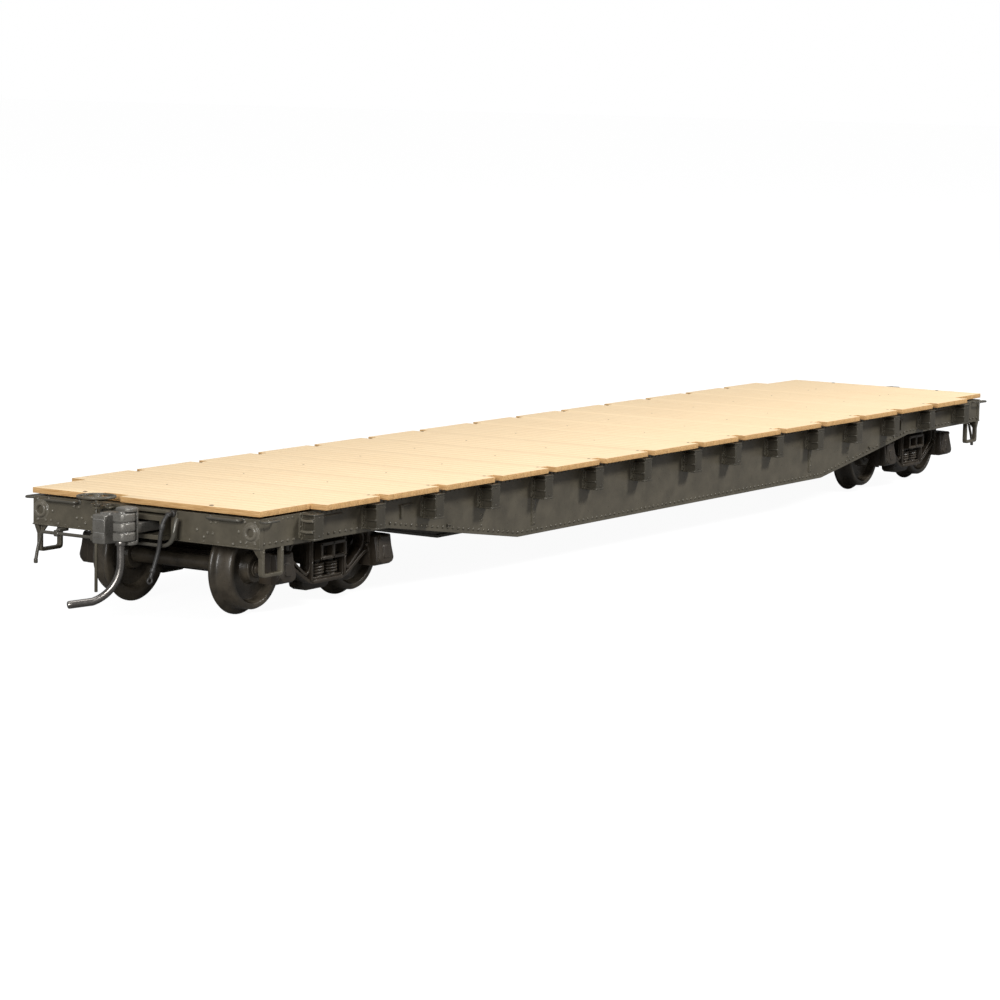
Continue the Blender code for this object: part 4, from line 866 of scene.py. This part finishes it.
def make_trip_pin(end, turn):
    """A wire that drops from the knuckle and curves out to one side, thinner at its tip."""
    pin = Shape()
    start = Vector((KNUCKLE_PIN[0] + 1.1, KNUCKLE_PIN[1] + 0.1, 0))
    sweep = Vector((4.4, -3.7, 0)).normalized()
    radius, bend, steps = 4.6, math.radians(72), 28
    path = [start + Vector((0, 0, z)) for z in (9.2, 8.0)]
    for i in range(steps + 1):
        angle = bend * i / steps
        drop = Vector((0, 0, 6.9 - radius * math.sin(angle)))
        path.append(start + sweep * radius * (1 - math.cos(angle)) + drop)
    last = path[-1]
    tip = sweep * 2.8 + Vector((0, 0, -0.3))
    path += [last + tip * share for share in (0.25, 0.5, 0.75, 0.93, 0.98, 1.0)]
    pin.tube(path, [0.44] * (len(path) - 2) + [0.38, 0.25], 18)
    pin.cylinder(start + Vector((0, 0, 9.25)), start + Vector((0, 0, 8.75)), 0.62, 20, 0.1)
    pin.piece(f"trip_pin_wire_{end}", f"coupler_knuckle_{end}", "pin_steel", turn,
              replaces=f"trip_pin_{end}")


# ---- trucks
# a wheel's section: radius, and distance in from its outer face
WHEEL = [(1.04, 2.9), (1.5, 2.9), (1.62, 2.8), (1.74, 2.1), (1.9, 1.82), (2.4, 1.72), (3.2, 1.62),
         (3.66, 1.66), (3.84, 1.86), (3.93, 2.55), (4.02, 2.7), (4.42, 2.76), (4.6, 2.68), (4.7, 2.5),
         (4.76, 1.7), (4.84, 1.0), (4.93, 0.82), (5.12, 0.7), (5.36, 0.58), (5.46, 0.42), (5.46, 0.26),
         (5.36, 0.1), (5.2, 0.02), (4.6, 0.0), (4.1, 0.03), (3.92, 0.16), (3.8, 0.62), (3.6, 0.82),
         (3.0, 0.86), (2.2, 0.82), (1.85, 0.72), (1.72, 0.4), (1.6, 0.04), (1.5, 0.0), (1.04, 0.0)]
# half an axle: radius, and distance from its middle
HALF_AXLE = [(0.0, 12.85), (0.12, 12.7), (0.6, 12.1), (0.6, 10.35), (0.7, 10.27), (0.98, 10.27),
             (0.98, 7.1), (0.86, 6.2), (0.86, 0.0)]
WHEEL_Y = 7.25


def make_wheelset(truck, number, x):
    body = f"wheelset_{truck}{number}"
    centre = shift(x, 0, AXLE_Z)
    axle = Shape()
    profile = HALF_AXLE + [(r, -z) for r, z in HALF_AXLE[-2::-1]]
    axle.lathe(profile, 32, centre @ Matrix.Rotation(math.pi / 2, 4, "X"), closed=False)
    axle.piece(f"axle_turned_{truck}{number}", body, "wheel_dark", replaces=f"axle_{truck}{number}")
    for name, side in SIDES:
        wheel = Shape()
        turn = Matrix.Rotation(-side * math.pi / 2, 4, "X")
        wheel.lathe(WHEEL, 72, centre @ shift(0, side * WHEEL_Y, 0) @ turn)
        wheel.piece(f"wheel_cast_{truck}{number}_{name}", body, "wheel_dark",
                    replaces=f"wheel_{truck}{number}_{name}")


FRAME_RIGHT = [(2.7, 3.15), (3.7, 3.4), (7.3, 5.55), (8.4, 5.85), (8.5, 7.5), (7.7, 8.5)]
WINDOW = [(-3.0, 3.65), (3.0, 3.65), (3.0, 8.05), (-3.0, 8.05)]
TRIANGLE = [(3.5, 4.85), (4.1, 4.5), (6.75, 6.5), (7.1, 7.4), (6.75, 8.05), (3.45, 8.05)]
JOURNAL_LOW, JOURNAL_HIGH = 4.1, 7.65
JOURNAL_HALF = 1.6
JOURNAL_BORE = 0.72
LID_SLOPE = math.atan2(0.45, 3.0)
LID = [(-1.5, -1.15), (-0.95, -1.6), (0.95, -1.6), (1.5, -1.15), (1.12, 1.5), (-1.12, 1.5)]
LID_BOSS = [(-0.62, -1.0), (0.62, -1.0), (0.5, 0.5), (-0.5, 0.5)]
SPRING_TURNS, SPRING_STEPS = 4.5, 20
SPRING_RADIUS, SPRING_WIRE = 0.92, 0.15


def make_side_frame(truck, x, name, side):
    """A flat web with a raised rim round its outside and its three openings, with its journal boxes."""
    casting = Shape()
    outside = FRAME_RIGHT + mirrored(FRAME_RIGHT)
    openings = [WINDOW, TRIANGLE, mirrored(TRIANGLE)]
    smooth_outside = fillet(outside, 0.5)

    def at(y):
        return shift(x, side * y, 0) @ XZ
    casting.plate([smooth_outside, *[fillet(opening, 0.35) for opening in openings]], 0.7, at(12.3), 0.04)
    casting.plate([smooth_outside, fillet(inset(outside, 0.4), 0.3)], 1.5, at(12.35), 0.06)
    for opening in openings:
        casting.plate([fillet(inset(opening, -0.32), 0.5), fillet(opening, 0.35)], 1.42, at(12.34), 0.06)
    back, face = side * 11.65, side * 13.28
    for facing in (-1, 1):
        for near, far, low, high in ((3.02, 3.4, 3.6, 8.3), (7.7, 8.3, 6.9, 8.4)):
            casting.box((x + facing * near, back, low), (x + facing * far, face, high), 0.08)
        make_journal_box(casting, x + facing * HALF_WHEELBASE, side)
        for z in (7.1, 5.6):
            casting.rivet((x + facing * 3.22, side * 13.25, z), (0, side, 0), 0.14)
        casting.rivet((x + facing * 5.6, side * 13.08, 8.27), (0, side, 0), 0.17, 0.12)
    casting.box((x - 2.9, back, 3.2), (x + 2.9, face, 3.62), 0.08)
    casting.piece(f"side_frame_cast_{truck}_{name}", f"truck_{truck}", "truck_black",
                  replaces=f"side_frame_{truck}_{name}")


def make_journal_box(casting, x, side):
    """A journal box in two cheeks and a front, open behind for the axle's end, with its lid."""
    low, high, half, bore = JOURNAL_LOW, JOURNAL_HIGH, JOURNAL_HALF, JOURNAL_BORE
    for cheek in (-1, 1):
        casting.box((x + cheek * bore, side * 11.7, low), (x + cheek * half, side * 13.3, high))
    for z_low, z_high in ((low + 0.02, AXLE_Z - bore), (AXLE_Z + bore, high - 0.02)):
        casting.box((x - bore - 0.05, side * 11.72, z_low), (x + bore + 0.05, side * 13.29, z_high), 0.0)
    front = [(side * 13.15, low), (side * 14.0, low), (side * 14.5, low + 0.5), (side * 14.05, high),
             (side * 13.15, high)]
    casting.prism(front, "X", x - half, x + half, 0.16, 3)
    lid = shift(x, side * 14.33, 5.95) @ Matrix.Rotation(side * LID_SLOPE, 4, "X") @ XZ
    casting.plate([fillet(LID, 0.4)], 0.30, lid, 0.06)
    casting.plate([fillet(LID_BOSS, 0.25)], 0.62, lid, 0.08)
    for middle, reach, y, z, radius in ((x, 0.95, 14.2, 7.35, 0.22), (x - 0.75, 0.2, 14.18, 7.42, 0.3),
                                        (x + 0.75, 0.2, 14.18, 7.42, 0.3)):
        casting.cylinder((middle - reach, side * y, z), (middle + reach, side * y, z), radius, 14, 0.05)


def make_springs(truck, x, name, side):
    """Two coils between two seats, squashed a little across the car."""
    nest = Shape()
    y = side * 12.35
    low, high = 3.68, 5.95
    nest.box((x - 2.72, y - 0.72, low), (x + 2.72, y + 0.72, low + 0.22))
    nest.box((x - 2.5, y - 0.72, high - 0.2), (x + 2.5, y + 0.72, high))
    bottom, top = low + 0.22 + SPRING_WIRE, high - 0.2 - SPRING_WIRE
    total = int(SPRING_TURNS * SPRING_STEPS)
    for centre in (x - 1.3, x + 1.3):
        path = []
        for i in range(total + 1):
            angle = 2 * math.pi * i / SPRING_STEPS
            path.append((centre + SPRING_RADIUS * math.cos(angle),
                         y + SPRING_RADIUS * 0.78 * math.sin(angle), bottom + (top - bottom) * i / total))
        nest.tube(path, SPRING_WIRE, 8)
        nest.cylinder((centre, y, low + 0.1), (centre, y, high - 0.1), 0.42, 14)
        nest.cylinder((centre, y, low + 0.2), (centre, y, low + 0.4), 0.7, 20, 0.05)
    nest.piece(f"coil_springs_{truck}_{name}", f"truck_{truck}", "truck_black",
               replaces=f"spring_nest_{truck}_{name}")


def make_bolster_details(truck, x):
    """The bolster's end windows, its side bearings and bolts."""
    details = Shape()
    for side in (-1, 1):
        near, far = side * 13.75, side * 14.0
        for low, high in ((7.62, 7.95), (5.97, 6.27)):
            details.box((x - 2.52, near, low), (x + 2.52, far, high), 0.06)
        for offset in (-2.32, 0.0, 2.32):
            details.box((x + offset - 0.17, near, 6.0), (x + offset + 0.17, far, 7.93))
        details.cylinder((x, side * 8.6, 8.3), (x, side * 8.6, 8.75), 0.9, 24, 0.08)
        for offset in (-1.5, 1.5):
            details.rivet((x + offset, side * 10.2, 8.5), UP, 0.25, 0.14, 12)
    details.piece(f"bolster_details_{truck}", f"truck_{truck}", "truck_black")


def make_spring_plank(truck, x):
    """A shallow channel across the truck, with a bolted foot under each end."""
    plank = Shape()
    plank.box((x - 2.58, -11.53, 3.12), (x + 2.58, 11.53, 3.32))
    for edge in (-1, 1):
        plank.box((x + edge * 2.36, -11.53, 3.14), (x + edge * 2.58, 11.53, 3.54), 0.06)
    half_foot = [(1.8, 2.14), (2.5, 2.5), (2.68, 3.2)]
    foot = [(x + u, z) for u, z in half_foot + mirrored(half_foot)]
    for side in (-1, 1):
        plank.prism(foot, "Y", side * 9.42, side * 11.45, 0.12)
        for offset in (-1.1, 1.1):
            plank.rivet((x + offset, side * 10.4, 3.32), UP, 0.24, 0.14, 10)
            plank.rivet((x + offset, side * 10.4, 2.16), DOWN, 0.2, 0.1, 10)
    plank.piece(f"spring_plank_cast_{truck}", f"truck_{truck}", "truck_black",
                replaces=f"spring_plank_{truck}")


SHOE_FACE, SHOE_BACK = 5.05, 5.85
SHOE_ARC = 24


def shoe_outline(axle_x, facing):
    """A brake shoe's outline: two arcs about the axle, on the side that faces the bolster."""
    middle = 180 if facing > 0 else 0
    centre = (axle_x, AXLE_Z - 0.1)
    steps = SHOE_ARC // 2
    near = arc(centre, SHOE_FACE, middle + facing * SHOE_ARC, middle - facing * SHOE_ARC, steps)
    return near + arc(centre, SHOE_BACK, middle - facing * SHOE_ARC, middle + facing * SHOE_ARC, steps)


def make_brake_gear(truck, x):
    """Two beams beside the bolster with a shoe against each wheel tread."""
    gear = Shape()
    for facing in (-1, 1):
        def point(along, y, z):
            return (x + facing * along, y, z)
        for side in (-1, 1):
            shoe = shoe_outline(x + facing * HALF_WHEELBASE, facing)
            gear.prism(shoe, "Y", side * 8.35, side * 9.85, 0.06)
            gear.box(point(2.75, side * 8.75, 4.9), point(4.0, side * 9.45, 5.9), 0.08)
            gear.tube([point(3.35, side * 9.1, 5.8), point(3.3, side * 9.2, 8.2)], 0.17, 8)
        gear.box(point(2.8, -9.4, 5.05), point(3.5, 9.4, 5.75), 0.08)
        truss = ((3.15, -8.9, 5.3), (3.1, -0.4, 4.3), (3.1, 0.4, 4.3), (3.15, 8.9, 5.3))
        gear.tube([point(*place) for place in truss], 0.18, 8)
        gear.box(point(2.9, -0.3, 4.25), point(3.4, 0.3, 5.6), 0.06)
    rod = ((-3.1, 5.5), (-3.1, 4.95), (3.1, 4.95), (3.1, 5.5))
    gear.tube([(x + u, 0.9, z) for u, z in rod], 0.2, 8)
    gear.piece(f"brake_gear_{truck}", f"truck_{truck}", "truck_black")


# ---- underframe
def make_air_tank():
    tank = Shape()
    start, end, radius = -14.5, -6.5, 2.0
    dome = [(0.0, 0.0), (0.9, 0.05), (1.5, 0.22), (1.85, 0.5), (radius, 0.9)]
    profile = [(r, end - depth) for r, depth in dome] + [(r, start + depth) for r, depth in dome[::-1]]
    place = shift(0, 9.0, 8.5) @ FACING_X
    tank.lathe(profile, 36, place, closed=False)
    outer, inner = radius + 0.08, radius - 0.1
    for x in (-12.8, -8.2):
        low, high = x - 0.3, x + 0.3
        tank.lathe([(outer, low), (outer, high), (inner, high), (inner, low)], 36, place)
        tank.box((low, 8.0, 9.5), (high, 10.0, 11.2), 0.08)
        for y in (6.85, 11.15):
            tank.box((low, y - 0.12, 8.5), (high, y + 0.12, 11.2))
    tank.piece("air_tank", replaces="air_reservoir")


def make_brake_cylinder():
    cylinder = Shape()
    y, z = -8.6, 8.4
    profile = [(0.0, 30.0), (1.5, 30.0), (1.8, 29.85), (1.85, 29.6), (1.85, 24.0), (2.1, 23.95),
               (2.1, 23.5), (1.7, 23.4), (1.2, 22.8), (0.8, 22.5), (0.5, 22.45), (0.4, 22.3),
               (0.4, 20.5), (0.0, 20.5)]
    cylinder.lathe(fillet(profile, 0.06, 2, False), 36, shift(0, y, z) @ FACING_X, closed=False)
    for angle in turns(8):
        angle += 0.2
        bolt = (23.5, y + 1.9 * math.cos(angle), z + 1.9 * math.sin(angle))
        cylinder.hexagon(bolt, (-1, 0, 0), 0.16, 0.15)
    cylinder.box((25, -9.8, 9.5), (28, -7.4, 11.2), 0.1)
    cylinder.piece("brake_cylinder_cast", replaces="brake_cylinder")


def make_control_valve():
    valve = Shape()
    x, y = 9.75, 8.8
    valve.box((8, 7.4, 7.4), (11.5, 10.2, 9.9), 0.3, segments=3)
    valve.box((9, 8.1, 9.7), (10.5, 9.5, 11.2), 0.1)
    valve.cylinder((x, y, 6.6), (x, y, 7.6), 1.0, 28, 0.12)
    for start in (7.7, 11.3):
        valve.cylinder((start, y, 8.7), (start + 0.5, y, 8.7), 0.8, 24, 0.08)
    for angle in turns(6):
        valve.hexagon((x + 0.78 * math.cos(angle), y + 0.78 * math.sin(angle), 6.6), DOWN, 0.12, 0.1)
    valve.piece("control_valve_cast", replaces="control_valve")


# bent pipes: the points, the radius and the steps from point to point
BENT_PIPES = (([(-6.6, 9.0, 8.6), (-3, 9.0, 8.9), (3, 8.9, 8.8), (7.9, 8.8, 8.7)], 0.2, 6),
              ([(11.6, 8.8, 8.7), (14, 8.8, 9.4), (16, 6.5, 10.4), (18, 4.6, 10.6)], 0.2, 6),
              ([(9.75, 7.5, 8.2), (10.5, 4.6, 10.4), (13, 4.4, 10.7), (58, 4.4, 10.7)], 0.25, 8))
STRAIGHT_PIPES = (([(-58, 4.4, 10.7), (-20, 4.4, 10.7), (10, 4.4, 10.7)], 0.25),
                  ([(20.6, -8.6, 8.4), (14.0, -8.6, 8.4)], 0.24),
                  ([(14.0, -8.9, 8.4), (14.0, -4.4, 8.6)], 0.28),
                  ([(14.0, -5.2, 8.55), (-40.0, -4.6, 9.2), (-58.0, -4.4, 9.6)], 0.2))


def make_pipes():
    """The air pipes, and the rods from the brake cylinder."""
    pipes = Shape()
    for points, radius, steps in BENT_PIPES:
        pipes.tube(smooth_path(points, steps), radius, 10)
    for points, radius in STRAIGHT_PIPES:
        pipes.tube(points, radius, 10)
    pipes.piece("brake_pipes")


def make_underframe_rivets():
    """Rivets along the centre sill's edges and across the crossbearers."""
    rivets = Shape()
    for side in (-1, 1):
        for x in (-36.4, -18.2, 18.2, 36.4):
            for i in range(9):
                y = side * (5.2 + i * 1.15)
                low = 5.05 + 2.0 * (abs(y) - 3.1) / 12.3
                for facing in (-1, 1):
                    for z in (10.8, low):
                        rivets.rivet((x + facing * 0.3, y, z), (facing, 0, 0), 0.14, 0.09)
        for i in range(64):
            rivets.rivet((2.0 * i - 63, side * 3.4, 10.85), (0, side, 0), 0.15, 0.09)
        for i in range(35):
            x = 2.0 * i - 34
            rivets.rivet((x, side * 3.4, 4.25), (0, side, 0), 0.15, 0.09)
            rivets.rivet((x, side * 3.2, 3.48), DOWN, 0.15, 0.09)
    rivets.piece("underframe_rivets")


# ---- build
for node, made in frame["nodes"].items():
    slot_name = next(s["material_slot"] for s in frame["record"]["subparts"] if s["node"] == node)
    made.data.materials.clear()
    made.data.materials.append(MATERIALS[slot_name])

make_planks()
make_deck_base()
make_deck_bolts()
for side_name, side_sign in SIDES:
    make_side_rivets(side_name, side_sign)
    make_pocket_ribs(side_name, side_sign)
for end_name, end_turn in ENDS:
    for make in (make_end, make_steps, make_grabs, make_cut_lever, make_hose,
                 make_coupler_head, make_knuckle, make_trip_pin):
        make(end_name, end_turn)
make_brake_wheel()
make_brake_staff()
make_brake_bracket()
for truck_name, truck_x in (("a", -TRUCK_X), ("b", TRUCK_X)):
    for number, offset in ((1, -HALF_WHEELBASE), (2, HALF_WHEELBASE)):
        make_wheelset(truck_name, number, truck_x + offset)
    for side_name, side_sign in SIDES:
        make_side_frame(truck_name, truck_x, side_name, side_sign)
        make_springs(truck_name, truck_x, side_name, side_sign)
    for make in (make_bolster_details, make_spring_plank, make_brake_gear):
        make(truck_name, truck_x)
for make in (make_air_tank, make_brake_cylinder, make_control_valve, make_pipes, make_underframe_rivets):
    make()


# ---- floor, light and camera
FLOOR_REACH = 4.0
FLOOR_BOUNCE = 0.20  # how pale the floor is to the light it throws back at the car
FLOOR_SHADE = 0.12  # how strongly shadows show on it to the camera
FLOOR_GLOW = 0.95
WORLD_STRENGTH = 0.28
WHITE = (1.0, 1.0, 1.0, 1.0)


def make_floor():
    reach = FLOOR_REACH
    mesh = bpy.data.meshes.new("floor")
    corners = [(-reach, -reach, 0.0), (reach, -reach, 0.0), (reach, reach, 0.0), (-reach, reach, 0.0)]
    mesh.from_pydata(corners, [], [(0, 1, 2, 3)])
    nodes = Nodes("floor_pale")
    seen = nodes.add("LightPath").outputs["Is Camera Ray"]
    for key, value in (("Base Color", nodes.ramp(seen, 0.0, 1.0, FLOOR_BOUNCE, FLOOR_SHADE)),
                       ("Emission Strength", nodes.ramp(seen, 0.0, 1.0, 0.0, FLOOR_GLOW)),
                       ("Emission Color", WHITE), ("Roughness", 0.9), ("Specular IOR Level", 0.05)):
        nodes.feed(nodes.shader.inputs[key], value)
    mesh.materials.append(nodes.material)
    add_object("floor", mesh)


def make_light(name, place, target, size, power):
    light = bpy.data.lights.new(name, "AREA")
    light.shape = "SQUARE"
    light.size = size
    light.energy = power
    made = add_object(name, light)
    made.location = place
    made.rotation_euler = (Vector(target) - Vector(place)).to_track_quat("-Z", "Y").to_euler()


# the camera fitted to the photograph: radians, metres, and millimetres for the lens
VIEW_YAW, VIEW_PITCH, VIEW_ROLL = 0.5717, -0.1273, 0.0198
VIEW_PLACE = (-0.38563, -0.23556, 0.06171)
LENS, SENSOR = 120.34, 36.0


def make_camera():
    camera = bpy.data.cameras.new("camera")
    camera.lens = LENS
    camera.sensor_width = SENSOR
    camera.clip_start = 0.01
    camera.clip_end = 20.0
    made = add_object("camera", camera)
    aim = Matrix.Rotation(VIEW_YAW - math.pi / 2, 4, "Z")
    aim = aim @ Matrix.Rotation(math.pi / 2 + VIEW_PITCH, 4, "X") @ Matrix.Rotation(VIEW_ROLL, 4, "Z")
    made.matrix_world = Matrix.Translation(VIEW_PLACE) @ aim
    bpy.context.scene.camera = made


def make_world():
    world = bpy.data.worlds.new("studio")
    world.use_nodes = True
    tree = world.node_tree
    background = tree.nodes["Background"]
    background.inputs["Color"].default_value = WHITE
    path = tree.nodes.new("ShaderNodeLightPath")
    strength = tree.nodes.new("ShaderNodeMapRange")
    strength.inputs["To Min"].default_value = WORLD_STRENGTH
    strength.inputs["To Max"].default_value = 1.0
    tree.links.new(path.outputs["Is Camera Ray"], strength.inputs["Value"])
    tree.links.new(strength.outputs[0], background.inputs["Strength"])
    bpy.context.scene.world = world
    bpy.context.scene.view_settings.view_transform = "Standard"


make_floor()
make_world()
# each light's place and target, the size of its square and its power, in metres and watts
make_light("key", (0.30, -0.62, 0.55), (0, 0, 0), 0.16, 6.0)
make_light("overhead", (-0.10, 0.10, 0.85), (0, 0, 0), 0.5, 2.2)
make_light("fill", (-0.85, -0.25, 0.30), (-0.05, 0, 0), 0.30, 5.6)
make_camera()
